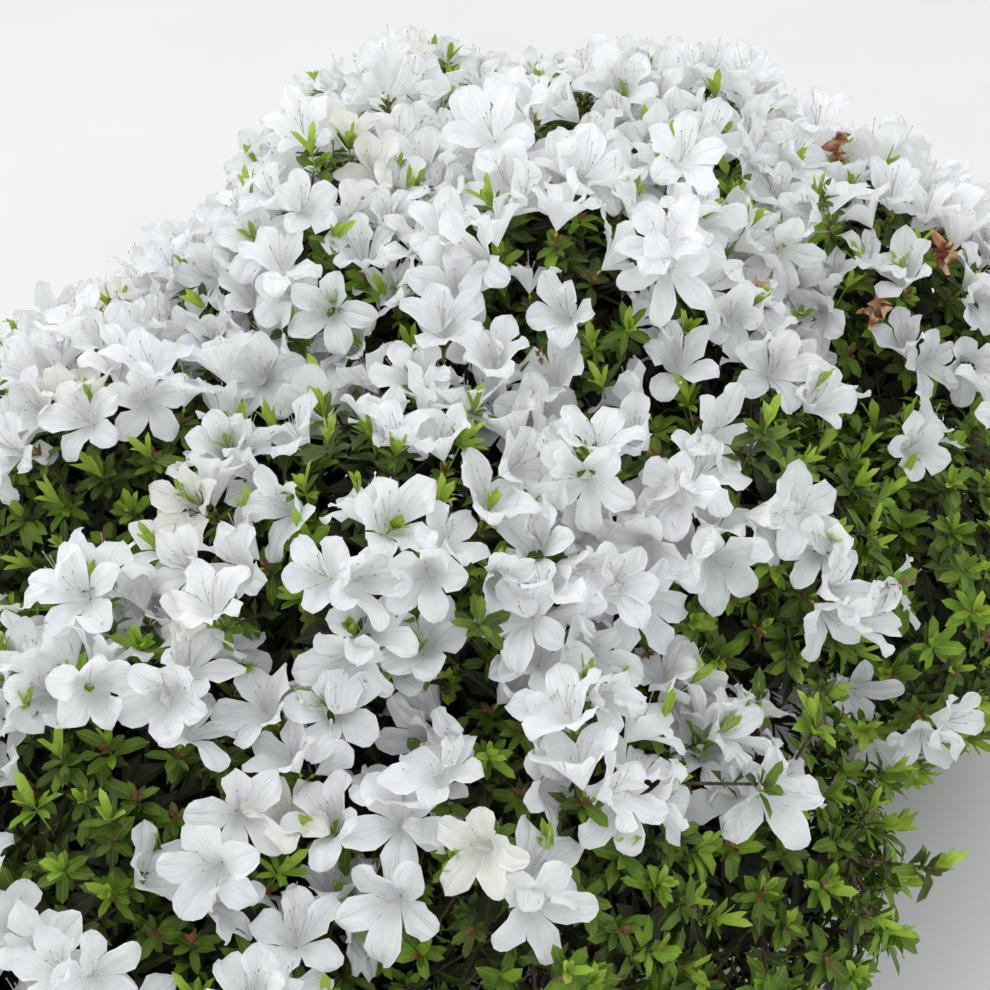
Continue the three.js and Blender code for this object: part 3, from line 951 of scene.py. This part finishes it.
@dataclass
class Flowers:
    """Wide funnels of five lobes with wavy margins, on short stalks, with stamens and a longer pistil.

    The first lobe is the uppermost, and the falls say how much further than the mean each one leans out. The
    outline is a lobe's half-width in millimetres at shares of its length.
    """

    foot: Array
    axis: Array
    spin: Array
    openness: Array
    size: Array
    seed: int = 7
    crumple: float = 0.0
    length: float = 0.0540
    tube_lean: float = 0.38
    throat_radius: float = 0.0034
    shut_radius: float = 0.0006
    falls: tuple[float, ...] = (-0.18, -0.04, 0.16, 0.16, -0.04)
    layers: tuple[int, ...] = (0, 2, 1, 2, 1)
    layer_gap: float = 0.0006
    rows: tuple[float, ...] = (0.0, 0.28, 0.48, 0.65, 0.79, 0.89, 0.96, 1.0)
    columns: int = 6
    outline_at: tuple[float, ...] = (0.0, 0.44, 0.57, 0.7, 0.82, 0.91, 0.96, 1.0)
    outline_mm: tuple[float, ...] = (15.0, 13.0, 14.6, 15.2, 14.0, 10.8, 7.4, 2.2)
    stamens: int = 3
    pistil_length: float = 0.048
    stamen_length: tuple[float, float] = (0.032, 0.042)
    thread_foot: float = 0.010
    thread_radii: tuple[float, ...] = (0.0005, 0.0004, 0.0003)
    anther_radii: tuple[float, ...] = (0.0007, 0.0005)
    anther_half: float = 0.0011
    calyx_depth: float = 0.004
    stalk_radii: tuple[float, ...] = (0.0009, 0.0009, 0.0021, 0.0010)

    def __post_init__(self) -> None:
        """Fixes the frame of each flower."""
        self.side, self.other = square_to(self.axis, self.spin)

    def only(self, keep: Array) -> "Flowers":
        """The flowers that a mask picks."""
        parts = (self.foot, self.axis, self.spin, self.openness, self.size)
        return Flowers(*(part[keep] for part in parts), seed=self.seed)

    def _world(self, x: Array, y: Array, z: Array) -> Array:
        """Points given in the flowers' own frames as points of the shrub.

        Args:
            x: along each flower's first side, with the flowers first and any further parameters after them.
            y: along its other side, in the same shape.
            z: along its axis, in the same shape.

        Returns:
            Points, in that shape and three to each.
        """
        extra = (None,) * (x.ndim - 1)
        frames = [v[(slice(None), *extra)] for v in (self.side, self.other, self.axis)]
        scaled = [c[..., None] * f for c, f in zip((x, y, z), frames, strict=True)]
        return self.foot[(slice(None), *extra)] + sum(scaled) * self.size[(slice(None), *extra, None)]

    def lobes(self) -> Skin:
        """The corolla: five patches for each flower.

        Along a lobe the profile leans out from the axis by an angle that grows with the distance, and the
        radius and the height are the running sums of its sine and cosine. Across, the patch follows the arc
        about the axis, as wide as the funnel's fifth at first and then as the lobe, whose half-width is
        uneven at its margins. Those are lifted, and waved more towards the edge. A spent flower is the same
        with all of its waves several times as high.

        Returns:
            All patches, with shares along and across as coordinates, the second one counted up lobe by lobe.
        """
        count = len(self.foot)
        rng = np.random.default_rng(self.seed)
        lobe, patch = (count, 5, 1), (count, 5, 1, 1)
        fine = np.linspace(0, 1, 101)
        falls = np.array(self.falls)[None, :, None]
        opened = self.openness[:, None, None] + falls + rng.normal(0, 0.12, lobe)
        curl = rng.uniform(0.0, 1.15, lobe) + self.crumple * rng.uniform(-2, 3, lobe)
        spreading, curling = ease((fine - 0.04) / 0.6), ease((fine - 0.6) / 0.4)
        lean = self.tube_lean + (opened - self.tube_lean) * spreading + curl * curling
        step = self.length * (1 + rng.normal(0, 0.06, lobe)) / (len(fine) - 1)
        throat = self.shut_radius + (self.throat_radius - self.shut_radius) * ease(fine / 0.26)
        radius = throat + np.cumsum(np.sin(lean) * step, -1)
        height = np.cumsum(np.cos(lean) * step, -1)
        at = (np.array(self.rows) * (len(fine) - 1)).round().astype(int)
        v, r, z, lean = fine[at], radius[..., at], height[..., at], lean[..., at]
        outline = np.interp(v, self.outline_at, self.outline_mm) / 1000
        outline = outline * (1 + rng.normal(0, 0.08, (count, 1, 1)) + rng.normal(0, 0.06, lobe))
        free = ease((v - 0.42) / 0.3)
        fifth = r * (math.pi / 5) * (1 + 0.2 * free)
        width = 1 / (1 / fifth**8 + 1 / outline**8) ** (1 / 8)
        u = np.linspace(-1, 1, self.columns)
        r, z, lean, width, free = (a[..., None] for a in (r, z, lean, width, free))
        uneven = rng.normal(0, 0.065, (count, 5, len(v), 2))
        width = width * (1 + free * np.where(u < 0, uneven[..., :1], uneven[..., 1:]))
        wild = 1 + 2.5 * self.crumple
        fold = rng.uniform(0.04, 0.4, patch) * (np.abs(u) - 0.4) * width
        cup = wild * rng.uniform(-0.36, 0.14, patch) * u**2 * width
        phase = rng.uniform(0, math.tau, patch) + rng.uniform(1, 2.5, patch) * np.sign(u)
        ruffle = wild * 0.0036 * np.abs(u) ** 1.5 * np.sin(rng.uniform(11, 20, patch) * v[:, None] + phase)
        layer = self.layer_gap * np.array(self.layers)[None, :, None, None]
        twist = wild * rng.normal(0, 0.15, patch) * u * width
        lift = free * (fold + cup + ruffle + layer + twist)
        start = math.tau * np.arange(5)[None, :, None, None] / 5 + rng.normal(0, 0.09, patch) * free
        azimuth = start + u * width / r
        reach = r - lift * np.cos(lean)
        points = self._world(reach * np.cos(azimuth), reach * np.sin(azimuth), z + lift * np.sin(lean))
        along, across = np.broadcast_arrays(v[:, None], (u + 1) / 2)
        number = np.arange(5)[:, None, None]
        uv = np.stack(np.broadcast_arrays(along[None], across[None] * 0.98 + 0.01 + number), -1)
        faces = repeated(grid_faces(len(v), self.columns), count * 5, len(v) * self.columns)
        return Skin(points.reshape(-1, 3), [faces], np.broadcast_to(uv, (count, *uv.shape)).reshape(-1, 2))

    def filaments(self) -> tuple[Skin, Skin]:
        """Stamens and pistil: thin tubes out of the throat that bend up towards the sky, each with its tip.

        Each thread leaves the axis by a power of the share of its length, and bends by a higher power of it.

        Returns:
            The filaments and their anthers.
        """
        count, each = len(self.foot), self.stamens + 1
        rng = np.random.default_rng(self.seed + 1)
        thread = (count, each, 1)
        share = np.array([0.0, 0.6, 1.0])
        azimuth = math.tau * np.arange(each)[None, :, None] / each + rng.uniform(0, 1.2, thread)
        pistil = (np.arange(each) == self.stamens)[None, :, None]
        long = np.where(pistil, self.pistil_length, rng.uniform(*self.stamen_length, thread))
        spread = np.where(pistil, 0.002, rng.uniform(0.004, 0.011, thread))
        aside = spread * share**1.5
        height = self.thread_foot + (long - self.thread_foot) * share
        points = self._world(aside * np.cos(azimuth), aside * np.sin(azimuth), height)
        rise = unit(UP - self.axis * self.axis[:, 2:3])[:, None, None]
        bend = np.where(pistil, 0.012, rng.uniform(0.005, 0.011, thread))
        points = points + rise * (bend * share**2.2)[..., None]
        paths = points.reshape(-1, len(share), 3)
        radii = np.broadcast_to(self.thread_radii, (len(paths), len(share)))
        ways = unit(paths[:, -1] - paths[:, -2])
        halves = np.array([-self.anther_half, self.anther_half])[None, :, None]
        tips = paths[:, -1][:, None] + ways[:, None] * halves
        anthers = tubes(tips, np.broadcast_to(self.anther_radii, (len(tips), 2)), 3, capped=False)
        return tubes(paths, radii, 3, capped=False), anthers

    def stalks(self, origin: Array) -> Skin:
        """Short green stalks that widen into a small calyx below each flower.

        Args:
            origin: the shoot tips that they start from, (flowers, 3).

        Returns:
            All stalks as one skin.
        """
        calyx = self.foot - self.axis * self.calyx_depth * self.size[:, None]
        paths = np.stack([origin, (origin * 0.4 + self.foot * 0.6), calyx, self.foot], 1)
        return tubes(paths, np.broadcast_to(self.stalk_radii, (len(paths), 4)), 3)


class Cut(Enum):
    """How a blade is cut across: shares of its length, and how wide it is there as shares of the widest."""

    ONCE = ((0.0, 0.56, 1.0), (0.0, 1.0, 0.0))
    TWICE = ((0.0, 0.38, 0.81, 1.0), (0.0, 0.9, 0.8, 0.0))


@dataclass
class Leaves(Batch):
    """Small blades, widest past the middle, folded along the midrib and arched along their length."""

    root: Array
    way: Array
    normal: Array
    length: Array
    width: Array
    arch: Array
    shade: Array

    def skin(self, cut: Cut) -> Skin:
        """Blades of four faces for each cut across.

        Along the blade the midrib bends down by an angle that grows evenly. The margins lie a rounded
        half-width away on both sides, raised by the fold.

        Args:
            cut: where they are cut across.

        Returns:
            All blades, with shares along and across as coordinates.
        """
        v, half = np.array(cut.value)
        rows = len(v) - 2
        side = np.cross(self.normal, self.way)
        bend = self.arch[:, None] * v
        forward = self.length[:, None] * v * np.cos(bend / 2)
        down = self.length[:, None] * v * np.sin(bend / 2)
        rib = self.root[:, None] + forward[..., None] * self.way[:, None]
        rib = rib - down[..., None] * self.normal[:, None]
        reach = (self.width[:, None] * half / 2)[..., None]
        raised = reach * 0.36 * self.normal[:, None]
        left = rib + reach * side[:, None] + raised
        right = rib - reach * side[:, None] + raised
        inner = slice(1, rows + 1)
        points = np.stack([left[:, inner], rib[:, inner], right[:, inner]], 2).reshape(len(rib), 3 * rows, 3)
        points = np.concatenate([rib[:, :1], points, rib[:, -1:]], 1)
        last, tip = 3 * rows - 2, 3 * rows + 1
        blade = [[0, 2, 1], [0, 3, 2], [last, last + 1, tip], [last + 1, last + 2, tip]]
        for row in range(1, last, 3):
            blade += [[row, row + 1, row + 4], [row, row + 4, row + 3]]
            blade += [[row + 1, row + 2, row + 5], [row + 1, row + 5, row + 4]]
        between = [[v[k], c] for k in range(1, rows + 1) for c in (0, 0.5, 1)]
        shares = np.array([[0, 0.5], *between, [1, 0.5]])
        uv = np.broadcast_to(shares, (len(rib), tip + 1, 2)).reshape(-1, 2)
        return Skin(points.reshape(-1, 3), [repeated(np.array(blade), len(rib), tip + 1)], uv)


@dataclass(frozen=True)
class Whorl:
    """A kind of whorl: how many leaves it has, how far they lean out, and how long and broad they are."""

    each: int
    pitch: tuple[float, float]
    length: tuple[float, float]
    broad: tuple[float, float] = (0.4, 0.5)
    arch: tuple[float, float] = (0.2, 0.9)
    spread: float = 0.006

    def at(
        self,
        tip: Array,
        axis: Array,
        seed: Array,
        shade: Array,
        rng: np.random.Generator,
        size: Array | float = 1.0,
    ) -> Leaves:
        """Whorls about shoots. In each one the leaves follow one another by the golden angle.

        Args:
            tip: where each whorl sits, (whorls, 3).
            axis: the shoots' directions, (whorls, 3).
            seed: each whorl's own number, (whorls,).
            shade: from 0 for the oldest and darkest to 1 for the lightest, lower in the hollows as painted
                shade, (whorls,).
            rng: the seeded generator.
            size: a factor on the leaves, one for all or one for each whorl.

        Returns:
            The leaves, whorl by whorl.
        """
        shape = (len(tip), self.each)
        number = np.arange(self.each)[None, :]
        turn = scatter(seed + 0.7)[:, None] * math.tau + number * GOLDEN_ANGLE + rng.normal(0, 0.2, shape)
        spread = np.broadcast_to(axis[:, None], (*shape, 3))
        way = tilted(spread, rng.uniform(*self.pitch, shape), turn)
        normal = unit(spread - way * (spread * way).sum(-1, keepdims=True))
        length = rng.uniform(*self.length, shape) * np.reshape(size, (-1, 1))
        root = tip[:, None] - spread * rng.uniform(0, self.spread, shape)[..., None]
        placed = [a.reshape(-1, 3) for a in (root, way, normal)]
        width = length * rng.uniform(*self.broad, shape)
        arch = rng.uniform(*self.arch, shape)
        shades = np.broadcast_to(shade[:, None], shape) + rng.normal(0, 0.06, shape)
        return Leaves(*placed, length.ravel(), width.ravel(), arch.ravel(), shades.ravel())


UNDER_FLOWERS = Whorl(7, (0.7, 1.65), (0.014, 0.028), (0.38, 0.54), (0.2, 1.1))
LEAFY_TIP = Whorl(10, (0.4, 1.55), (0.014, 0.032), (0.36, 0.5), (0.1, 1.2), 0.014)
ALONG_TWIG = Whorl(5, (0.6, 1.5), (0.016, 0.030), (0.36, 0.5), (0.2, 1.1), 0.012)
# INNER and CORE carry the painted-shade leaves: large dark blades that fill the crown's inside.
INNER = Whorl(4, (0.7, 1.5), (0.034, 0.048))
CORE = Whorl(3, (0.9, 1.6), (0.050, 0.070), (0.5, 0.6))
TUFT = Whorl(4, (0.08, 0.45), (0.021, 0.035), (0.24, 0.33), (-0.2, 0.5))
COLLAR = Whorl(7, (0.6, 1.35), (0.017, 0.029), (0.27, 0.38), (0.0, 0.7), 0.004)
SCALES = Whorl(4, (0.3, 1.0), (0.008, 0.013), (0.34, 0.46), (0.0, 0.5), 0.002)


@dataclass
class Foliage:
    """All growth on the limbs: branchlets, twigs, leaves, young shoots, bud scales and flowers."""

    crown: Crown
    seed: int = 31
    branchlet_spacing: float = 0.104
    branchlet_share: float = 0.7
    branchlet_sag: float = -0.012
    branchlet_radii: tuple[float, float] = (0.0048, 0.0024)
    twig_sag: float = -0.16
    fine_spacing: float = 0.049
    fine_reach: tuple[float, float] = (0.86, 0.97)
    inner_spacing: float = 0.061
    inner_reach: tuple[float, float] = (0.5, 0.82)
    core_spacing: float = 0.095
    core_reach: tuple[float, float] = (0.2, 0.4)
    low_line: float = 0.36
    low_fade: float = 0.2
    bloom_share: float = 0.94
    patches: Swell = Swell(((17.0, 23.0, 11.0), (-21.0, 9.0, 14.0)), (0.3, 2.2))
    flower_odds: tuple[float, ...] = (1.0, 0.9, 0.65)
    flower_lean: tuple[float, float] = (0.25, 1.0)
    flower_gap: float = 0.0298
    flower_size: tuple[float, float] = (0.84, 1.04)
    hollow_limit: float = 0.4
    face_reach: float = 0.034
    tuft_turn: float = 6.28
    tuft_clear: float = 0.016
    collar_clear: float = 0.023
    collar_drop: float = 0.003
    stem_radius: float = 0.0009

    def grow(self) -> None:
        """Places every shoot, and works out which ones bloom."""
        crown = self.crown
        limbs = sorted(crown.limbs, key=lambda limb: limb.billow.index)
        self.rng = np.random.default_rng(self.seed)
        self.hearts = np.array([limb.heart for limb in limbs])
        self.branchlets = crown.shoots(self.branchlet_spacing, crown.tip_reach, 0.024)
        self.tips = crown.shoots(self.fine_spacing, self.fine_reach, 0.003)
        self.inner = crown.shoots(self.inner_spacing, self.inner_reach, -0.05, -1.0)
        self.core = crown.shoots(self.core_spacing, self.core_reach, -0.05, -1.0)
        self.hollow = crown.hollowness(self.tips.point)
        self.low = np.clip((self.low_line - self.tips.point[:, 2]) / self.low_fade, 0, 1)
        share = crown.bloom_share(self.tips.point) * self.bloom_share
        share = share * np.minimum(1, 0.985 + 0.1 * self.patches.at(self.tips.point))
        share = share * np.clip(1.1 - 2.0 * self.hollow, 0, 1)
        self.blooms = scatter(self.tips.seed + 0.4) < share
        self.axes = unit(self.tips.direction + UP * crown.shoot_lift)
        self.tip_forks = self._forks(self.tips, 1.0)

    def _branchlet_ends(self, index: Array | int, points: Array) -> Array:
        """Where the branchlets towards these points end, a share of the way from their billow's heart."""
        return self.hearts[index] + (points - self.hearts[index]) * self.branchlet_share

    def _forks(self, shoots: Shoots, reach: float) -> Array:
        """For each shoot the place where it forks off.

        Args:
            shoots: the shoots.
            reach: the share of the nearest branchlet's length at which they fork, from its billow's heart.

        Returns:
            A place for each shoot.
        """
        place = np.empty_like(shoots.point)
        for index in range(self.crown.count):
            mine = shoots.billow == index
            near = self.branchlets.billow == index
            heart = self.hearts[index]
            ends = self._branchlet_ends(index, self.branchlets.point[near]) if near.any() else heart[None]
            away = np.linalg.norm(shoots.point[mine][:, None] - ends, axis=-1)
            place[mine] = heart + (ends[away.argmin(1)] - heart) * reach
        return place

    def twigs(self) -> Skin:
        """Branchlets from each heart, then twigs from them to every tip, all of them arcs that turn up."""
        index, steps = self.branchlets.billow, 6
        ends = self._branchlet_ends(index, self.branchlets.point)
        bowed = self._arcs(self.hearts[index], ends, UP * self.branchlet_sag, steps)
        widths = np.broadcast_to(np.linspace(*self.branchlet_radii, steps), bowed.shape[:2])
        skins = [tubes(bowed, widths, 6)]
        kinds = ((self.tips, 1.0, 0.0019, 4), (self.inner, 0.8, 0.0016, 2), (self.core, 0.3, 0.0020, 2))
        for shoots, reach, radius, steps in kinds:
            fork = self._forks(shoots, reach)
            arcs = self._arcs(fork, shoots.point, self.twig_sag * (shoots.point - fork), steps)
            widths = np.linspace(radius * 1.3, radius * 0.8, steps)
            skins.append(tubes(arcs, np.broadcast_to(widths, arcs.shape[:2]), 3))
        return joined(skins)

    @staticmethod
    def _arcs(start: Array, end: Array, sag: Array, steps: int) -> Array:
        """Quadratic arcs between points.

        Args:
            start: where each starts, (arcs, 3).
            end: where each ends, (arcs, 3).
            sag: what is added to the middle of each.
            steps: how many points each has.

        Returns:
            The points, (arcs, steps, 3).
        """
        t = np.linspace(0, 1, steps)[None, :, None]
        middle = (start + end) / 2 + sag
        return (1 - t) ** 2 * start[:, None] + 2 * t * (1 - t) * middle[:, None] + t**2 * end[:, None]

    def flowers(self) -> tuple[Flowers, Array]:
        """One to three flowers at each blooming tip, leaning apart, thinned where two would fill one place.

        The places of their open faces are kept, for the young shoots to grow clear of.

        Returns:
            The flowers and the shoot tips that their stalks start from.
        """
        rng = self.rng
        tips, axes, seeds = self.tips.point[self.blooms], self.axes[self.blooms], self.tips.seed[self.blooms]
        turns = scatter(seeds + 0.9) * math.tau
        places, ways, origins, ranks = [], [], [], []
        for number, odds in enumerate(self.flower_odds):
            lots = [scatter(seeds + 0.13 * number + 0.011 * k) for k in range(1, 5)]
            chosen = lots[0] < odds
            base, axis = tips[chosen], axes[chosen]
            turn = (turns + number * math.tau / 3 + mixed(-0.5, 0.5, lots[2]))[chosen]
            way = tilted(axis, mixed(*self.flower_lean, lots[1][chosen]), turn)
            places.append(base + axis * 0.004 + way * 0.010)
            ways.append(way)
            origins.append(base)
            ranks.append(lots[3][chosen])
        foot, way, origin, rank = (np.concatenate(a) for a in (places, ways, origins, ranks))
        middle = foot + way * 0.025
        shut = self.crown.hollowness(middle) >= self.hollow_limit
        taken: list[int] = []
        for i in np.argsort(np.where(shut, 2, rank))[: (~shut).sum()]:
            if not taken or np.linalg.norm(middle[taken] - middle[i], axis=1).min() > self.flower_gap:
                taken.append(int(i))
        foot, way, origin = foot[taken], way[taken], origin[taken]
        self.faces = foot + way * self.face_reach
        count = len(foot)
        openness = rng.normal(0.89, 0.16, count)
        openness = np.where(rng.random(count) < 0.05, rng.uniform(0.42, 0.7, count), openness)
        side, other = square_to(way)
        spin = np.arctan2(other[:, 2], side[:, 2]) + rng.normal(0, 0.4, count)
        return Flowers(foot, way, spin, openness, rng.uniform(*self.flower_size, count)), origin

    def leaves(self) -> tuple[Leaves, Leaves, Leaves]:
        """Whorls under the flowers and at leafy tips, darker ones down the twigs, and inner ones of painted
        shade.

        Returns:
            The outer leaves, the ones behind them along the twigs, and the inner ones.
        """
        rng = self.rng
        tips, axes, forks, seed = self.tips.point, self.axes, self.tip_forks, self.tips.seed
        blooms, leafy = self.blooms, ~self.blooms
        # Each whorl's tint: its own age and tone at random, lighter on the low skirt, less a painted shade of
        # 0.35 in the hollows.
        tint_with_hollow_shade = 0.50 + 0.4 * (scatter(seed + 0.8) - 0.5) - 0.35 * self.hollow + 0.2 * self.low
        larger = 1 + 0.3 * self.low[leafy]
        outer = [
            UNDER_FLOWERS.at((tips - axes * 0.003)[blooms], axes[blooms], seed[blooms], tint_with_hollow_shade[blooms], rng),
            LEAFY_TIP.at(tips[leafy], axes[leafy], seed[leafy], tint_with_hollow_shade[leafy] + 0.04, rng, larger),
        ]
        along, behind = unit(tips - forks + UP * 0.01), []
        dense = scatter(seed + 0.6) > self.hollow * 0.95
        for share, drop in ((0.78, 0.2), (0.5, 0.45)):
            place, twig_tint_with_hollow_shade = forks + (tips - forks) * share, tint_with_hollow_shade - drop
            behind.append(ALONG_TWIG.at(place[dense], along[dense], (seed + share)[dense], twig_tint_with_hollow_shade[dense], rng))
        inner = [
            whorl.at(shoots.point, unit(shoots.direction + UP * 0.3), shoots.seed, np.zeros(len(shoots)), rng)
            for whorl, shoots in ((INNER, self.inner), (CORE, self.core))
        ]
        return Leaves.joined(outer), Leaves.joined(behind), Leaves.joined(inner)

    def tufts(self) -> tuple[Leaves, Leaves, Leaves, Skin]:
        """Young upright shoots beside the tips, grown collars below them, and reddish scales in the whorls.

        None stands in a flower's face, and the collars, which are wider, keep further away from it.

        Returns:
            The young leaves, the collars, the scales and the young shoots' stems.
        """
        rng = self.rng
        tips, axes, seed = self.tips.point, self.axes, self.tips.seed
        count, blooms = len(tips), self.blooms
        bearing = rng.random(count) < np.where(blooms, 0.42, 0.75) * (1 - 0.5 * self.hollow)
        lean, turn = rng.uniform(0.0, 0.5, count), rng.uniform(0, self.tuft_turn, count)
        aside = tilted(unit(axes + UP * 0.5), lean, turn)
        rise = np.where(blooms, rng.uniform(0.016, 0.038, count), rng.uniform(0.003, 0.012, count))
        foot = tips + aside * rise[:, None]
        clear = np.linalg.norm(foot[:, None] - self.faces[None], axis=2).min(1)
        bearing &= clear > self.tuft_clear
        foot = foot[bearing]
        lightest = np.ones(count)
        young = TUFT.at(foot, aside[bearing], seed[bearing] + 3, lightest[bearing], rng)
        among = bearing & blooms & (clear > self.collar_clear)
        below = (tips + aside * (rise - self.collar_drop)[:, None])[among]
        ages = mixed(0.2, 0.8, scatter(seed[among] + 0.35))
        collars = COLLAR.at(below, aside[among], seed[among] + 4, ages, rng)
        paths = np.stack([tips[bearing], foot], 1)
        stems = tubes(paths, np.full(paths.shape[:2], self.stem_radius), 3, capped=False)
        scaly = rng.random(count) < np.where(blooms, 0.75, 0.45) * (1 - 0.7 * self.low)
        scales = SCALES.at((tips + axes * 0.002)[scaly], axes[scaly], seed[scaly] + 5, lightest[scaly], rng)
        return young, collars, scales, stems


@dataclass(frozen=True)
class Panel:
    """A round soft light: its place by the view's directions, its width and its power in watts."""

    name: str
    place: tuple[float, float, float]
    size: float
    power: float


@dataclass
class Studio:
    """A pale floor, soft light from above, and the camera at the photograph's angle.

    Places are given as the way to the right of the view, the way ahead along the ground, and the height.
    """

    view: float = -57.0
    dip: float = 37.6
    field_of_view: float = 30.0
    place: tuple[float, float, float] = (0.048, -1.48, 1.60)
    floor_half: float = 30.0
    sky: tuple[float, float, float, float] = (0.92, 0.95, 1.0, 1.0)
    sky_strength: float = 1.32
    lit_height: float = 0.4
    panels: tuple[Panel, ...] = (
        Panel("panel_high", (-1.0, 0.5, 3.5), 3.4, 44.0),
        Panel("panel_front", (1.2, -3.4, 2.4), 2.6, 15.0),
    )

    def _seen(self, place: tuple[float, float, float]) -> Array:
        """A place given by the view's directions, as a point of the scene."""
        turn = math.radians(self.view)
        right, ahead = [math.cos(turn), math.sin(turn), 0], [-math.sin(turn), math.cos(turn), 0]
        return np.array(place) @ np.array([right, ahead, UP])

    def floor(self) -> None:
        """One wide flat sheet at ground level."""
        rim = np.array([[-1, -1, 0], [1, -1, 0], [1, 1, 0], [-1, 1, 0]]) * self.floor_half
        made = mesh_object("floor", Skin(rim, [np.array([[0, 1, 2, 3]])], rim[:, :2]))
        weave = Weave("floor_paint")
        colour = weave.blended(weave.noise(weave.place(), 3.0), tone("c9c8c4"), tone("cfcecb"))
        made.data.materials.append(weave.finished(weave.skin(colour, 0.9)))
        made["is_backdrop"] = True

    def lights(self) -> None:
        """A broad sky light, a large soft panel above and behind on the left, and a weak one in front."""
        world = bpy.data.worlds.new("sky")
        world.use_nodes = True
        background = world.node_tree.nodes["Background"]
        background.inputs["Color"].default_value = self.sky
        background.inputs["Strength"].default_value = self.sky_strength
        bpy.context.scene.world = world
        for panel in self.panels:
            light = bpy.data.lights.new(panel.name, "AREA")
            light.shape = "DISK"
            light.size = panel.size
            light.energy = panel.power
            lamp = bpy.data.objects.new(panel.name, light)
            spot = Vector(self._seen(panel.place))
            lamp.location = spot
            lamp.rotation_euler = (Vector((0, 0, self.lit_height)) - spot).to_track_quat("-Z", "Y").to_euler()
            bpy.context.scene.collection.objects.link(lamp)

    def camera(self) -> None:
        """The photograph's viewpoint: a person of average height who looks down on the mound."""
        dip = math.radians(self.dip)
        look = self._seen((0, math.cos(dip), -math.sin(dip)))
        data = bpy.data.cameras.new("camera")
        data.sensor_width = 36.0
        data.lens = data.sensor_width / 2 / math.tan(math.radians(self.field_of_view) / 2)
        camera = bpy.data.objects.new("camera", data)
        turned = Vector(look).to_track_quat("-Z", "Y").to_matrix().to_4x4()
        camera.matrix_world = Matrix.Translation(Vector(self._seen(self.place))) @ turned
        bpy.context.scene.collection.objects.link(camera)
        bpy.context.scene.camera = camera


def piece(name: str, skin: Skin, finish: bpy.types.Material, slot: Slot, nodes: list[str]) -> None:
    """Makes a piece, dresses it, hangs it on the body and hides the nodes that it replaces.

    Args:
        name: its name.
        skin: its surface.
        finish: its material.
        slot: the record's slot for its finish; not used.
        nodes: the nodes that it replaces.
    """
    skin.points[:, 2] = np.maximum(skin.points[:, 2], 0)
    made = mesh_object(name, skin)
    made.data.materials.append(finish)
    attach(made, BODY)
    slot.value
    if nodes:
        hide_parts(*nodes)
    log.info("%s: %d triangles", name, skin.triangles)


def corner_list(corners: tuple) -> list[list[float]]:
    """A box's two corners as plain lists."""
    return [[float(v) for v in corner] for corner in corners]


def dress_flowers(growth: Foliage, foliage: list[str]) -> None:
    """Makes the flowers' pieces, their colours dealt out flower by flower.

    Args:
        growth: the shrub's growth, which knows where they sit.
        foliage: the nodes that the petals replace.
    """
    flowers, stalk_roots = growth.flowers()
    piece("flower_stalks", flowers.stalks(stalk_roots), LEAF_YOUNG.made(), Slot.LEAF, [])
    deal = np.random.default_rng(5).random(len(flowers.foot))
    threads, anthers = [], []
    for number, finish in enumerate([*PETALS, SPENT]):
        low, high = FLOWER_DEAL[number], FLOWER_DEAL[number + 1]
        batch = flowers.only((deal >= low) & (deal < high))
        batch.seed += number * 10
        if finish is SPENT:
            batch.crumple = 1.0
            batch.openness = batch.openness * 0.3
            batch.size = batch.size * 0.62
        else:
            thread, tip = batch.filaments()
            threads.append(thread)
            anthers.append(tip)
        piece(f"{finish.name}_lobes", batch.lobes(), finish.made(), Slot.BLOSSOM, foliage)
    piece("filaments", joined(threads), FILAMENT.made(), Slot.BLOSSOM, [])
    piece("anthers", joined(anthers), ANTHER.made(), Slot.BLOSSOM, [])
    log.info("flowers %d", len(flowers.foot))


def dress_leaves(growth: Foliage, foliage: list[str]) -> None:
    """Makes the leaves' pieces, their colours dealt out by shade, which differs most from whorl to whorl.

    Args:
        growth: the shrub's growth. Its flowers come first, because the young shoots keep clear of them.
        foliage: the nodes that the leaves replace.
    """
    outer, behind, inner = growth.leaves()
    young, collars, scales, stems = growth.tufts()
    for number, finish in enumerate(LEAVES):
        low, high = SHADE_LIMITS[number], SHADE_LIMITS[number + 1]
        near, raised, far = (b.only((b.shade >= low) & (b.shade < high)) for b in (outer, collars, behind))
        blades = joined([near.skin(Cut.TWICE), raised.skin(Cut.TWICE), far.skin(Cut.ONCE)])
        piece(f"{finish.name}_blades", blades, finish.made(), Slot.LEAF, foliage)
    piece("leaf_inner_blades", inner.skin(Cut.ONCE), LEAF_PAINTED_SHADE.made(), Slot.LEAF, foliage)
    piece("leaf_young_blades", joined([young.skin(Cut.TWICE), stems]), LEAF_YOUNG.made(), Slot.LEAF, [])
    piece("bud_scales", scales.skin(Cut.ONCE), BUD.made(), Slot.BARK, [])
    log.info("leaves %d outer, %d behind, %d inner", len(outer), len(behind), len(inner))


def main() -> None:
    """Builds the shrub from the root crown up, then the studio."""
    logging.basicConfig(level=logging.INFO, format="%(name)s %(message)s")
    solid_box = corner_list(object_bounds())
    crown = Crown()
    foliage = [b.node for b in crown.billows]
    boughs = [f"bough_{b.index + 1:02d}" for b in crown.billows]

    limb_bark = LIMB.made()
    piece("root_crown", RootCrown().skin(), limb_bark, Slot.BARK, ["trunk"])
    piece("stems_and_boughs", Limbs(crown).skin(), limb_bark, Slot.BARK, boughs)

    growth = Foliage(crown)
    growth.grow()
    piece("twigs", growth.twigs(), TWIG.made(), Slot.BARK, foliage)
    dress_flowers(growth, foliage)
    dress_leaves(growth, foliage)

    studio = Studio()
    studio.floor()
    studio.lights()
    studio.camera()
    bpy.context.scene.view_settings.view_transform = "Standard"
    {"solids": solid_box, "visual": corner_list(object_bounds())}


if __name__ == "__main__":
    main()
